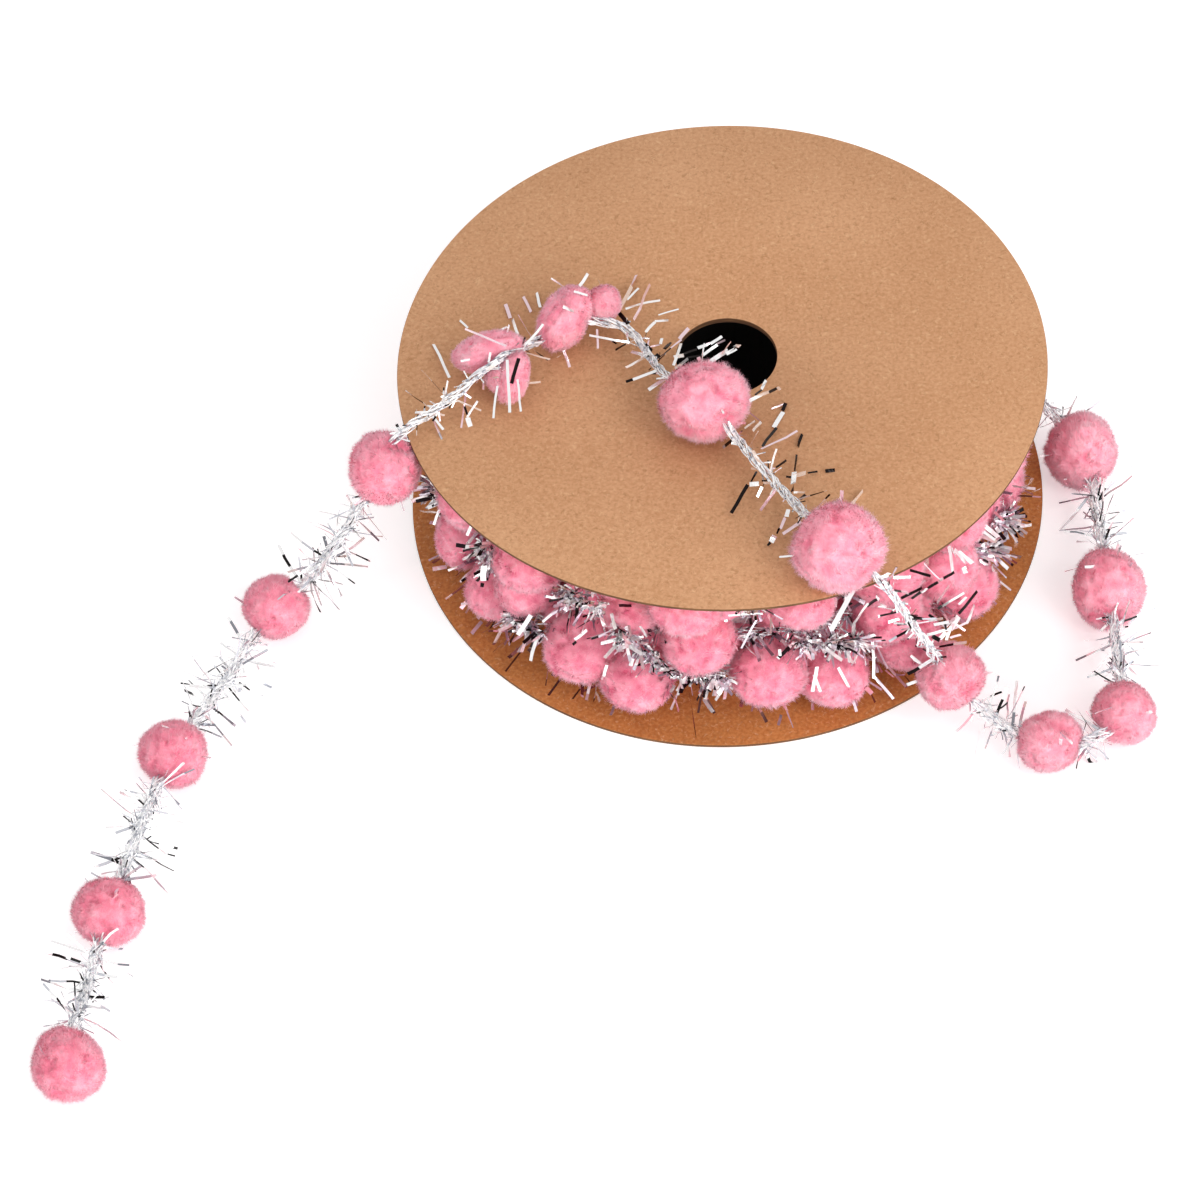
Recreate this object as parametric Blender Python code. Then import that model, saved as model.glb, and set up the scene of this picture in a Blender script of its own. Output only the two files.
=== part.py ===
# Pompom and tinsel ribbon wound on a flanged cardboard spool. The spool lies flat with its axis upright.
# The ribbon's loose end leaves the roll at the right, lies on the floor in front, climbs over the upper
# flange past the spindle hole, drops off the left edge and runs away over the floor.
# The origin is on the spool's axis, on the floor. Lengths below are in millimetres, angles in degrees.

import math
import random
from collections import namedtuple

import bmesh
import bpy
from mathutils import Vector, noise

MM = 0.001

# Spool of two die-cut board discs on a tube
SPOOL_HEIGHT = 29.0
FLANGE_RADIUS = 45.0
FLANGE_BOARD = 0.5
FLANGE_STEPS = 72
SPINDLE_HOLE_RADIUS = 7.0
CORE_RADIUS = 17.0
CORE_WALL = 1.5
CORE_STEPS = 48
GAP = 0.3
SHARP_EDGE = 40

# Ribbon of pompoms on a twisted thread
THREAD_DIAMETER = 2.0
THREAD_SPACING = 4.6
CURVE_STEPS = 24
BEND_REACH = 2.2
TUNNEL_RADIUS = 1.52
TUNNEL_LIP = 0.5
END_IN_POMPOM = 2.5
FLAT_SPOT = 0.25
POMPOM_SIDES = 12
POMPOM_RINGS = 7
POMPOM_LUMP = 0.09
LUMP_SIZE = 4.5
CLOSED_SIDE = 0.985
LARGE_LOBE = 0.74
SMALL_LOBE = 0.56
CROSSING_DEPTH = 0.5
CROSSING_WIDTH = 0.45

# Tinsel between the pompoms: a sleeve of foil roots with blades standing out of it
SLEEVE_RADIUS = 1.95
SLEEVE_SIDES = 6
BLADE_BAND = 0.5
BAND_SPACING = 4.6
BLADES_IN_BAND = 5
BLADE_SHORT = 3.2
BLADE_LONG = 6.4
BLADE_CLEARANCE = 0.4
BLADE_LEAN = 0.8
BLADE_SWAY = 0.45
BLADE_ROOT = 0.35
BLADE_SHARES = (0.3, 0.5, 0.7, 0.85, 1.0)
BLADE_TRIES = 14
BLADE_SEED = 7
MOST_BANDS = 4
HOLE_HEADROOM = 4.0
DISTANCE_STEPS = 5

# Wound roll
WOUND_RADIUS = 34.0
TURN_RIDGE = 0.5
ROLL_STEPS = 180
ROLL_LEVELS = 18
ROLL_POMPOM_RADIUS = 5.0
ROLL_POMPOM_FOOT = 1.12
ROLL_POMPOM_CROWN = 0.7
ROLL_TINSEL_RADIUS = 1.1
ROLL_TINSEL_RISE = 0.7
STRIP_TURNS = (-5, -2.5, 0, 2.5, 5)
STRIP_RISES = (-1.6, -0.8, 0, 0.8, 1.6)

RoutePoint = namedtuple("RoutePoint", "x y z pompom form")
RollPompom = namedtuple("RollPompom", "angle reach level")
RollTinsel = namedtuple("RollTinsel", "from_angle to_angle from_level to_level")


def rest_height(pompom, form):
    """From the surface below to the thread, in a pompom that rests on its flat spot."""
    size = pompom / 2
    if form == "in line":
        size *= LARGE_LOBE
    return size - FLAT_SPOT


def on_floor(x, y, pompom, form="round"):
    return RoutePoint(x, y, rest_height(pompom, form), pompom, form)


def on_flange(x, y, pompom, form="round"):
    return RoutePoint(x, y, SPOOL_HEIGHT + GAP + rest_height(pompom, form), pompom, form)


def hanging(x, y, z, pompom):
    return RoutePoint(x, y, z, pompom, "hanging")


def thread_at(x, y, z):
    return RoutePoint(x, y, z, 0.0, "thread")


# The loose end from the roll to its last pompom. A pompom's last length is its diameter.
ROUTE = (
    thread_at(32.9, 14.6, 9.6),
    thread_at(39.5, 11.6, 9.9),
    thread_at(45.4, 7.4, 8.3),
    on_floor(50.9, 1.1, 10.7),
    thread_at(52.2, -11.4, 3.9),
    on_floor(52.5, -23.9, 10.8),
    thread_at(52.9, -34.6, 3.9),
    on_floor(52.6, -45.2, 9.4),
    thread_at(48.6, -49.1, 4.4),
    on_floor(42.5, -49.8, 9.1),
    thread_at(36.0, -46.6, 5.3),
    hanging(29.5, -41.6, 9.2, 9.2),
    thread_at(26.2, -42.3, 17.6),
    thread_at(23.4, -43.2, 25.0),
    thread_at(21.3, -42.8, 29.8),
    thread_at(18.5, -41.2, 33.0),
    on_flange(14.4, -38.4, 12.6),
    thread_at(6.3, -25.2, 32.9),
    on_flange(-2.6, -12.6, 12.2),
    thread_at(-8.4, -4.6, 32.9),
    thread_at(-12.4, 3.2, 32.5),
    thread_at(-14.9, 5.7, 32.9),
    on_flange(-19.2, 4.9, 12.0, "in line"),
    thread_at(-25.0, 1.6, 33.1),
    on_flange(-31.7, -4.2, 11.4, "across"),
    thread_at(-38.2, -8.8, 32.5),
    thread_at(-42.6, -12.0, 32.0),
    thread_at(-45.9, -14.0, 30.2),
    hanging(-47.9, -14.9, 26.0, 10.0),
    thread_at(-50.9, -16.2, 19.6),
    thread_at(-54.8, -17.9, 13.2),
    thread_at(-59.0, -19.6, 8.2),
    on_floor(-63.6, -21.4, 10.0),
    thread_at(-70.2, -33.0, 3.9),
    on_floor(-76.9, -46.0, 10.2),
    thread_at(-81.2, -58.6, 3.9),
    on_floor(-84.3, -71.9, 9.9),
    thread_at(-86.8, -83.4, 3.9),
    on_floor(-88.4, -95.4, 10.4),
    thread_at(-89.2, -102.0, 4.6),
)

# Pompoms on the roll's side that faces the viewer, each by its place on the winding
FRONT_ROLL_POMPOMS = (
    RollPompom(-161, 39.2, 8.2),
    RollPompom(-150, 39.2, 6.3),
    RollPompom(-139, 38.2, 12.0),
    RollPompom(-123, 38.2, 7.2),
    RollPompom(-111, 39.0, 6.2),
    RollPompom(-99, 37.4, 20.2),
    RollPompom(-97, 38.4, 12.6),
    RollPompom(-83, 39.0, 8.0),
    RollPompom(-70, 39.6, 6.2),
    RollPompom(-76, 37.4, 18.6),
    RollPompom(-57, 38.4, 13.8),
    RollPompom(-53, 39.2, 6.2),
    RollPompom(-41, 38.4, 14.2),
    RollPompom(-36, 39.4, 6.2),
    RollPompom(-23, 39.0, 9.6),
    RollPompom(-7, 39.2, 6.4),
)
BACK_FIRST_ANGLE = 36
BACK_LAST_ANGLE = 188
BACK_ANGLE_STEP = 13
BACK_LEVELS = (6.4, 20.6, 13.2)
BACK_REACH = 38.4
TOP_ROW_ANGLES = (-155, -134, -117, -57, -38, -18, 2, 19)
TOP_ROW_LEVEL = 21.8

# Tinsel that shows between those pompoms
ROLL_TINSEL = (
    RollTinsel(-122, -109, 13.8, 13.8),
    RollTinsel(-100, -92, 4.2, 4.6),
    RollTinsel(-84, -71, 13.6, 13.4),
    RollTinsel(-29, -17, 16.2, 16.0),
    RollTinsel(-11, 8, 13.6, 13.6),
    RollTinsel(30, 48, 13.6, 13.4),
    RollTinsel(73, 86, 13.8, 13.8),
    RollTinsel(112, 126, 13.8, 13.8),
    RollTinsel(152, 168, 13.6, 13.6),
)


def back_roll_pompoms():
    angles = range(BACK_FIRST_ANGLE, BACK_LAST_ANGLE, BACK_ANGLE_STEP)
    rows = [RollPompom(angle, BACK_REACH, BACK_LEVELS[place % len(BACK_LEVELS)])
            for place, angle in enumerate(angles)]
    rows += [RollPompom(angle, BACK_REACH, TOP_ROW_LEVEL) for angle in TOP_ROW_ANGLES]
    return tuple(rows)


ROLL_POMPOMS = FRONT_ROLL_POMPOMS + back_roll_pompoms()
ROLL_BOTTOM = FLANGE_BOARD + GAP
ROLL_TOP = SPOOL_HEIGHT - FLANGE_BOARD - GAP
ROLL_LEVEL_STEP = (ROLL_TOP - ROLL_BOTTOM) / (ROLL_LEVELS - 1)


def linear(hex_colour):
    channels = [int(hex_colour[start:start + 2], 16) / 255 for start in (0, 2, 4)]
    return [value / 12.92 if value <= 0.04045 else ((value + 0.055) / 1.055) ** 2.4 for value in channels]


def make_material(name, hex_colour, roughness, metallic):
    material = bpy.data.materials.new(name)
    material.use_nodes = True
    shader = material.node_tree.nodes["Principled BSDF"]
    shader.inputs["Base Color"].default_value = (*linear(hex_colour), 1.0)
    shader.inputs["Roughness"].default_value = roughness
    shader.inputs["Metallic"].default_value = metallic
    material.diffuse_color = (*linear(hex_colour), 1.0)
    return material


def add_object(name, form, material):
    mesh = bpy.data.meshes.new(name)
    form.to_mesh(mesh)
    form.free()
    mesh.materials.append(material)
    mesh.shade_smooth()
    mesh.set_sharp_from_angle(angle=math.radians(SHARP_EDGE))
    part = bpy.data.objects.new(name, mesh)
    bpy.context.collection.objects.link(part)
    return part


def skin(loops, ring_closed):
    """Joins successive loops. A closed ring goes back to the first loop, else both ends are filled."""
    form = bmesh.new()
    rows = [[form.verts.new(point * MM) for point in loop] for loop in loops]
    faces = {}
    joins = len(rows) if ring_closed else len(rows) - 1
    for row in range(joins):
        near = rows[row]
        far = rows[(row + 1) % len(rows)]
        for side in range(len(near)):
            after = (side + 1) % len(near)
            faces[row, side] = form.faces.new((near[side], near[after], far[after], far[side]))
    if not ring_closed:
        form.faces.new(rows[0])
        form.faces.new(rows[-1])
    bmesh.ops.recalc_face_normals(form, faces=form.faces[:])
    return form, faces


def turned_ring(name, material, inner, outer, bottom, top, steps):
    """A rectangular section spun round the spool's axis."""
    form = bmesh.new()
    corners = ((inner, bottom), (outer, bottom), (outer, top), (inner, top))
    section = [form.verts.new(Vector((radius, 0, level)) * MM) for radius, level in corners]
    edges = [form.edges.new((section[k], section[(k + 1) % len(section)])) for k in range(len(section))]
    bmesh.ops.spin(form, geom=section + edges, cent=(0, 0, 0), axis=(0, 0, 1), dvec=(0, 0, 0),
                   angle=math.tau, steps=steps, use_merge=True, use_duplicate=False)
    bmesh.ops.recalc_face_normals(form, faces=form.faces[:])
    return add_object(name, form, material)


# The loose end's path

def smooth_curve(points):
    """Centripetal Catmull-Rom curve through the points, and the place of each point on it."""
    ends = [points[0] * 2 - points[1]] + list(points) + [points[-1] * 2 - points[-2]]
    dense = []
    places = []
    for k in range(1, len(ends) - 2):
        before, start, stop, after = ends[k - 1:k + 3]
        knots = [0.0]
        for a, b in ((before, start), (start, stop), (stop, after)):
            knots.append(knots[-1] + math.sqrt((b - a).length))
        places.append(len(dense))
        for step in range(CURVE_STEPS):
            t = knots[1] + (knots[2] - knots[1]) * step / CURVE_STEPS
            a1 = before.lerp(start, (t - knots[0]) / (knots[1] - knots[0]))
            a2 = start.lerp(stop, (t - knots[1]) / (knots[2] - knots[1]))
            a3 = stop.lerp(after, (t - knots[2]) / (knots[3] - knots[2]))
            b1 = a1.lerp(a2, (t - knots[0]) / (knots[2] - knots[0]))
            b2 = a2.lerp(a3, (t - knots[1]) / (knots[3] - knots[1]))
            dense.append(b1.lerp(b2, (t - knots[1]) / (knots[2] - knots[1])))
    places.append(len(dense))
    dense.append(points[-1].copy())
    return dense, places


def running_lengths(points):
    lengths = [0.0]
    for start, stop in zip(points, points[1:]):
        lengths.append(lengths[-1] + (stop - start).length)
    return lengths


class Thread:
    """The thread's axis as straight steps, read by the length run from its start."""

    def __init__(self, points, spacing):
        dense, places = smooth_curve(points)
        lengths = running_lengths(dense)
        self.marks = [lengths[place] for place in places]
        count = math.ceil(lengths[-1] / spacing)
        self.points = []
        place = 0
        for k in range(count + 1):
            wanted = lengths[-1] * k / count
            while place < len(dense) - 2 and lengths[place + 1] < wanted:
                place += 1
            share = (wanted - lengths[place]) / (lengths[place + 1] - lengths[place])
            self.points.append(dense[place].lerp(dense[place + 1], share))
        self.step = lengths[-1] / count

    def at(self, length):
        place = min(max(int(length / self.step), 0), len(self.points) - 2)
        return self.points[place].lerp(self.points[place + 1], length / self.step - place)

    def axes(self, length):
        """Directions along, beside and above the thread."""
        along = (self.at(length + BEND_REACH) - self.at(length - BEND_REACH)).normalized()
        side = along.cross(Vector((0, 0, 1))).normalized()
        return along, side, side.cross(along)

    def ring(self, length, radii):
        along, side, up = self.axes(length)
        centre = self.at(length)
        loop = []
        for k, radius in enumerate(radii):
            turn = math.tau * k / len(radii)
            loop.append(centre + (up * math.cos(turn) + side * math.sin(turn)) * radius)
        return loop


THREAD = Thread([Vector((row.x, row.y, row.z)) for row in ROUTE], THREAD_SPACING)
POMPOM_PLACES = [place for place, row in enumerate(ROUTE) if row.pompom]
THREAD_END = THREAD.marks[POMPOM_PLACES[-1]] + END_IN_POMPOM


def make_loose_thread(material):
    """The twisted thread that carries the pompoms and the tinsel."""
    count = math.ceil(THREAD_END / THREAD_SPACING)
    curve = bpy.data.curves.new("loose_thread", "CURVE")
    curve.dimensions = "3D"
    curve.bevel_depth = THREAD_DIAMETER / 2 * MM
    curve.bevel_resolution = 2
    curve.use_fill_caps = True
    spline = curve.splines.new("POLY")
    spline.points.add(count)
    for k, point in enumerate(spline.points):
        length = THREAD_END * k / count
        point.co = (*(THREAD.at(length) * MM), 1.0)
    curve.materials.append(material)
    bpy.context.collection.objects.link(bpy.data.objects.new("loose_thread", curve))


# Pompoms on the loose end

def half_length(row):
    """From a pompom's middle to where the thread comes out of it."""
    return math.sqrt((row.pompom / 2) ** 2 - (TUNNEL_RADIUS + TUNNEL_LIP) ** 2)


def pompom_radius(row, offset, turn):
    """From the thread to a pompom's surface, at an offset along it and a turn round it from the top."""
    size = row.pompom / 2
    radius = math.sqrt(max(size ** 2 - offset ** 2, 0.0))
    if row.form == "in line":
        large = (LARGE_LOBE * size) ** 2 - (offset - (1 - LARGE_LOBE) * size) ** 2
        small = (SMALL_LOBE * size) ** 2 - (offset + (1 - SMALL_LOBE) * size) ** 2
        radius = math.sqrt(max(large, small, 0.0))
    if row.form == "across":
        from_top = min(turn, math.tau - turn)
        radius *= 1 - CROSSING_DEPTH * math.exp(-(from_top / CROSSING_WIDTH) ** 2)
    return radius


def make_pompom(name, material, place, last):
    """A lumpy ball of pile with a way through it for the thread. The last one is closed at its far side."""
    row = ROUTE[place]
    middle = THREAD.marks[place]
    half = half_length(row)
    lowest = -math.inf if row.form == "hanging" else row.z - rest_height(row.pompom, row.form)
    turns = [math.tau * k / POMPOM_SIDES for k in range(POMPOM_SIDES)]
    outer = []
    for ring in range(POMPOM_RINGS):
        offset = -half * math.cos(math.pi * ring / (POMPOM_RINGS - 1))
        if last and ring == POMPOM_RINGS - 1:
            offset = row.pompom / 2 * CLOSED_SIDE
        loop = []
        for turn in turns:
            spot = Vector((offset, math.sin(turn) * row.pompom, math.cos(turn) * row.pompom)) / LUMP_SIZE
            lump = POMPOM_LUMP * max(noise.noise(spot + Vector((place, 0, 0))), 0.0)
            smallest = 0.0 if last and ring == POMPOM_RINGS - 1 else TUNNEL_RADIUS + TUNNEL_LIP
            loop.append(max(pompom_radius(row, offset, turn) * (1 - lump), smallest))
        outer.append([Vector((p.x, p.y, max(p.z, lowest))) for p in THREAD.ring(middle + offset, loop)])
    tunnel = [TUNNEL_RADIUS] * POMPOM_SIDES
    deepest = END_IN_POMPOM + GAP if last else half
    inner_stops = (deepest, deepest - (half + deepest) / 3, -half + (half + deepest) / 3, -half)
    inner = [THREAD.ring(middle + stop, tunnel) for stop in inner_stops]
    form, _ = skin(inner + outer, ring_closed=not last)
    return add_object(name, form, material)


# Tinsel

def nearest_distance(start, stop, other_start, other_stop):
    """Least distance between two short straight pieces, from points along both."""
    nearest = math.inf
    shares = [k / (DISTANCE_STEPS - 1) for k in range(DISTANCE_STEPS)]
    for share in shares:
        point = start.lerp(stop, share)
        for other_share in shares:
            nearest = min(nearest, (point - other_start.lerp(other_stop, other_share)).length)
    return nearest


def roll_surface(angle, level):
    """Radius of the wound roll at an angle in degrees and a height: turns of thread with pompoms on them."""
    turns = WOUND_RADIUS + TURN_RIDGE * math.cos(math.pi * (level - ROLL_BOTTOM) / ROLL_LEVEL_STEP)
    reach = turns
    for row in ROLL_POMPOMS:
        aside = math.radians((angle - row.angle + 180) % 360 - 180) * row.reach
        share = (aside ** 2 + (level - row.level) ** 2) / (ROLL_POMPOM_FOOT * ROLL_POMPOM_RADIUS) ** 2
        if share < 1:
            height = row.reach + ROLL_POMPOM_RADIUS - turns
            reach = max(reach, turns + height * (1 - share) ** ROLL_POMPOM_CROWN)
    return reach


def is_free(point):
    """Whether a point of a blade is clear of the spool, the roll, the pompoms and the spindle hole."""
    radius = math.hypot(point.x, point.y)
    over_hole = radius < SPINDLE_HOLE_RADIUS + BLADE_CLEARANCE and point.z < SPOOL_HEIGHT + HOLE_HEADROOM
    in_spool = radius < FLANGE_RADIUS + BLADE_CLEARANCE
    low_board = point.z < FLANGE_BOARD + BLADE_CLEARANCE
    high_board = abs(point.z - SPOOL_HEIGHT + FLANGE_BOARD / 2) < FLANGE_BOARD / 2 + BLADE_CLEARANCE
    if over_hole or (in_spool and (low_board or high_board)):
        return False
    if in_spool and point.z < SPOOL_HEIGHT - FLANGE_BOARD:
        angle = math.degrees(math.atan2(point.y, point.x))
        if radius < roll_surface(angle, point.z) + BLADE_CLEARANCE:
            return False
    for place in POMPOM_PLACES:
        row = ROUTE[place]
        if (point - Vector((row.x, row.y, row.z))).length < row.pompom / 2 + BLADE_CLEARANCE:
            return False
    return True


class Tinsel:
    """Makes the pieces of tinsel and remembers every blade, so that no two of them touch."""

    def __init__(self, material):
        self.material = material
        self.blades = []
        self.chance = random.Random(BLADE_SEED)

    def clears(self, root, tip, stretch, widest):
        if not all(is_free(root.lerp(tip, share)) for share in BLADE_SHARES):
            return False
        if math.hypot(tip.x, tip.y) > widest:
            return False
        for k, point in enumerate(THREAD.points[:-1]):
            length = k * THREAD.step
            if stretch and stretch[0] - THREAD.step < length < stretch[1]:
                continue
            if nearest_distance(root, tip, point, THREAD.points[k + 1]) < SLEEVE_RADIUS + BLADE_CLEARANCE:
                return False
        from_root = root.lerp(tip, BLADE_ROOT)
        return all(nearest_distance(from_root, tip, *other) > 2 * BLADE_CLEARANCE for other in self.blades)

    def grow(self, form, face, along, stretch, widest):
        """Draws one face of the sleeve out into a pointed blade, if there is room for it."""
        root = face.calc_center_median() / MM
        outward = face.normal.copy()
        for _ in range(BLADE_TRIES):
            lean = along * self.chance.uniform(-BLADE_LEAN, BLADE_LEAN)
            sway = along.cross(outward) * self.chance.uniform(-BLADE_SWAY, BLADE_SWAY)
            length = self.chance.uniform(BLADE_SHORT, BLADE_LONG)
            tip = root + (outward + lean + sway).normalized() * length
            tip.z = max(tip.z, 0.0)
            if (tip - root).length > BLADE_SHORT / 2 and self.clears(root, tip, stretch, widest):
                centre = bmesh.ops.poke(form, faces=[face])["verts"][0]
                centre.co = tip * MM
                self.blades.append((root.lerp(tip, BLADE_ROOT), tip))
                return

    def make(self, name, rings_at, start, stop, sleeve, stretch=None, widest=math.inf):
        """A sleeve between two lengths of a path, in bands, with blades drawn out of each narrow band.

        On a stretch of the loose thread the sleeve is hollow. The blades stay within the widest radius.
        """
        bands = max(1, min(MOST_BANDS, round((stop - start) / BAND_SPACING)))
        stations = [start]
        for band in range(bands):
            middle = start + (stop - start) * (band + 0.5) / bands
            stations += [middle - BLADE_BAND / 2, middle + BLADE_BAND / 2]
        stations.append(stop)
        loops = [rings_at(station, sleeve) for station in stations]
        if stretch:
            loops += [rings_at(station, TUNNEL_RADIUS) for station in reversed(stations)]
        form, faces = skin(loops, ring_closed=bool(stretch))
        for band in range(bands):
            row = 2 * band + 1
            centres = [sum(loops[row + k], Vector()) / SLEEVE_SIDES for k in (0, 1)]
            along = (centres[1] - centres[0]).normalized()
            bare_side = self.chance.randrange(SLEEVE_SIDES)
            sides = [(bare_side + 1 + k) % SLEEVE_SIDES for k in range(BLADES_IN_BAND)]
            for side in sides:
                self.grow(form, faces[row, side], along, stretch, widest)
        return add_object(name, form, self.material)


def make_loose_tinsel(tinsel):
    """One sleeve for each stretch of thread between pompoms, where there is room."""
    stretches = [(0.0, THREAD.marks[POMPOM_PLACES[0]] - half_length(ROUTE[POMPOM_PLACES[0]]))]
    for place, following in zip(POMPOM_PLACES, POMPOM_PLACES[1:]):
        stretches.append((THREAD.marks[place] + half_length(ROUTE[place]),
                          THREAD.marks[following] - half_length(ROUTE[following])))
    for number, (start, stop) in enumerate(stretches):
        def rings_at(length, radius):
            return THREAD.ring(length, [radius] * SLEEVE_SIDES)
        tinsel.make(f"tinsel_{number:02d}", rings_at, start + GAP, stop - GAP, SLEEVE_RADIUS,
                    stretch=(start, stop))


def make_roll_tinsel(tinsel):
    """Short lengths of tinsel that lie on the roll between its pompoms."""
    for number, row in enumerate(ROLL_TINSEL, 1):
        span = math.radians(row.to_angle - row.from_angle) * WOUND_RADIUS

        def rings_at(length, radius):
            share = length / span
            angle = row.from_angle + (row.to_angle - row.from_angle) * share
            level = row.from_level + (row.to_level - row.from_level) * share
            under = max(roll_surface(angle + aside, level + rise)
                        for aside in STRIP_TURNS for rise in STRIP_RISES)
            reach = under + ROLL_TINSEL_RISE + radius
            outward = Vector((math.cos(math.radians(angle)), math.sin(math.radians(angle)), 0))
            centre = outward * reach + Vector((0, 0, level))
            turns = [math.tau * k / SLEEVE_SIDES for k in range(SLEEVE_SIDES)]
            return [centre + (outward * math.cos(t) + Vector((0, 0, math.sin(t)))) * radius for t in turns]

        tinsel.make(f"roll_tinsel_{number:02d}", rings_at, 0.0, span, ROLL_TINSEL_RADIUS,
                    widest=FLANGE_RADIUS - GAP)


def make_wound_roll(material):
    """All the turns on the spool as one ring, with its outer pompoms and the thread's turns raised."""
    inner = CORE_RADIUS + GAP
    angles = [360 * k / ROLL_STEPS for k in range(ROLL_STEPS)]
    loops = []

    def loop_at(radii, level):
        turns = [math.radians(angle) for angle in angles]
        return [Vector((r * math.cos(t), r * math.sin(t), level)) for r, t in zip(radii, turns)]

    loops.append(loop_at([inner] * ROLL_STEPS, ROLL_BOTTOM))
    for k in range(ROLL_LEVELS):
        level = ROLL_BOTTOM + ROLL_LEVEL_STEP * k
        loops.append(loop_at([roll_surface(angle, level) for angle in angles], level))
    loops.append(loop_at([inner] * ROLL_STEPS, ROLL_TOP))
    form, _ = skin(loops, ring_closed=True)
    return add_object("wound_roll", form, material)


def make_spool(board, tube_board):
    turned_ring("flange_lower", board, SPINDLE_HOLE_RADIUS, FLANGE_RADIUS, 0.0, FLANGE_BOARD,
                FLANGE_STEPS)
    turned_ring("flange_upper", board, SPINDLE_HOLE_RADIUS, FLANGE_RADIUS,
                SPOOL_HEIGHT - FLANGE_BOARD, SPOOL_HEIGHT, FLANGE_STEPS)
    turned_ring("core_tube", tube_board, CORE_RADIUS - CORE_WALL, CORE_RADIUS, ROLL_BOTTOM, ROLL_TOP,
                CORE_STEPS)


def main():
    for leftover in list(bpy.data.objects):
        bpy.data.objects.remove(leftover, do_unlink=True)
    board = make_material("kraft_board", "C8976B", 0.85, 0.0)
    tube_board = make_material("tube_board", "6B4F38", 0.9, 0.0)
    pile = make_material("pompom_pile", "EE8FA6", 0.95, 0.0)
    foil = make_material("silver_foil", "DADDE2", 0.2, 1.0)
    thread = make_material("silver_thread", "C9CCD3", 0.45, 0.4)

    make_spool(board, tube_board)
    make_wound_roll(pile)
    make_loose_thread(thread)
    for number, place in enumerate(POMPOM_PLACES, 1):
        make_pompom(f"pompom_{number:02d}", pile, place, number == len(POMPOM_PLACES))
    tinsel = Tinsel(foil)
    make_loose_tinsel(tinsel)
    make_roll_tinsel(tinsel)


main()
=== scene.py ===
import math
from collections import namedtuple

import bpy
import numpy as np
from mathutils import Matrix, Vector


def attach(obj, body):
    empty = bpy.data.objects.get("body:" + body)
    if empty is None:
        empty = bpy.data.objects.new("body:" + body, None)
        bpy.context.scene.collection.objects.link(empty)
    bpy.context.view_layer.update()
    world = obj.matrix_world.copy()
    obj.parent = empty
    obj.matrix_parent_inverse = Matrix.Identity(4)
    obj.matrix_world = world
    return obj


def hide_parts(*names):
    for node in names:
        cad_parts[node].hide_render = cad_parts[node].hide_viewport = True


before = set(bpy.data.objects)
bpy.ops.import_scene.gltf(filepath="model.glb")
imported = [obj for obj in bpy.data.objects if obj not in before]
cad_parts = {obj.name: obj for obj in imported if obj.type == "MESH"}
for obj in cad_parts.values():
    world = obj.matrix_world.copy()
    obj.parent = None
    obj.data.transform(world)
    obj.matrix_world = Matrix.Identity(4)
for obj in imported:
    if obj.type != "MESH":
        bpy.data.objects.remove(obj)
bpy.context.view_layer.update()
mm = 0.001
tiny = 1e-12

# Camera

photo = {"side": 1200, "focalLength": 4824.2, "axisX": 727.3, "axisY": 494.0}  # pixels
camera = {"distance": 0.690, "elevation": 50.572, "roll": -2.247, "sensor": 36.0}


def addCamera():
    elevation = math.radians(camera["elevation"])
    turn = (Matrix.Rotation(math.pi / 2 - elevation, 3, "X")
            @ Matrix.Rotation(math.radians(camera["roll"]), 3, "Z"))
    place = Vector((0, -math.cos(elevation), math.sin(elevation))) * camera["distance"]
    bpy.ops.object.camera_add(location=place, rotation=turn.to_euler())
    made = bpy.context.object
    made.name = "photoCamera"
    made.data.sensor_width = camera["sensor"]
    made.data.lens = camera["sensor"] * photo["focalLength"] / photo["side"]
    made.data.shift_x = 0.5 - photo["axisX"] / photo["side"]
    made.data.shift_y = photo["axisY"] / photo["side"] - 0.5
    bpy.context.scene.camera = made


addCamera()

# The loose end's route, from the roll to its last pompom

spool = {
    "height": 29.0 * mm,
    "radius": 45.0 * mm,
    "board": 0.5 * mm,
    "hole": 7.0 * mm,
    "tubeRadius": 17.0 * mm,
    "tubeWall": 1.5 * mm,
    "gap": 0.3 * mm,
    "corner": 0.1 * mm,  # a die rounds the board's edge a little
    "cornerCut": 0.03 * mm,
    "merge": 0.01 * mm,
    "sharp": 50,  # degrees
    "steps": 240,
    # The upper board stands up a little at its front left, and its hole lies off its middle
    "rise": 2.0 * mm,
    "riseWay": (-0.4, -0.917),
    "holeShift": (0.65 * mm, 0.85 * mm),
    "burr": 0.4 * mm,
    "level": 0.9,  # a face that is more level than this is the board's own side
    "upright": 0.5,
    "holeEdge": 0.99,
    "clear": 0.05 * mm,  # strips of tinsel keep this far off the board and the floor
    "below": 2.0 * mm,  # points lower than this under the upper board's top are not over it
}
# Pompoms stand on a small flat spot, the thread ends past the last one, and tinsel starts at a share of the
# radius from a pompom's middle
pompomForm = {"flatSpot": 0.25 * mm, "largeLobe": 0.74, "threadPast": 2.5 * mm, "tinselStart": 0.85}
# Starts of the random draws
seeds = {"thread": 11, "looseTinsel": 21, "roll": 31, "bands": 36, "inner": 41, "lobes": 50, "turn": 100,
         "innerPompoms": 900}
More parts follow.
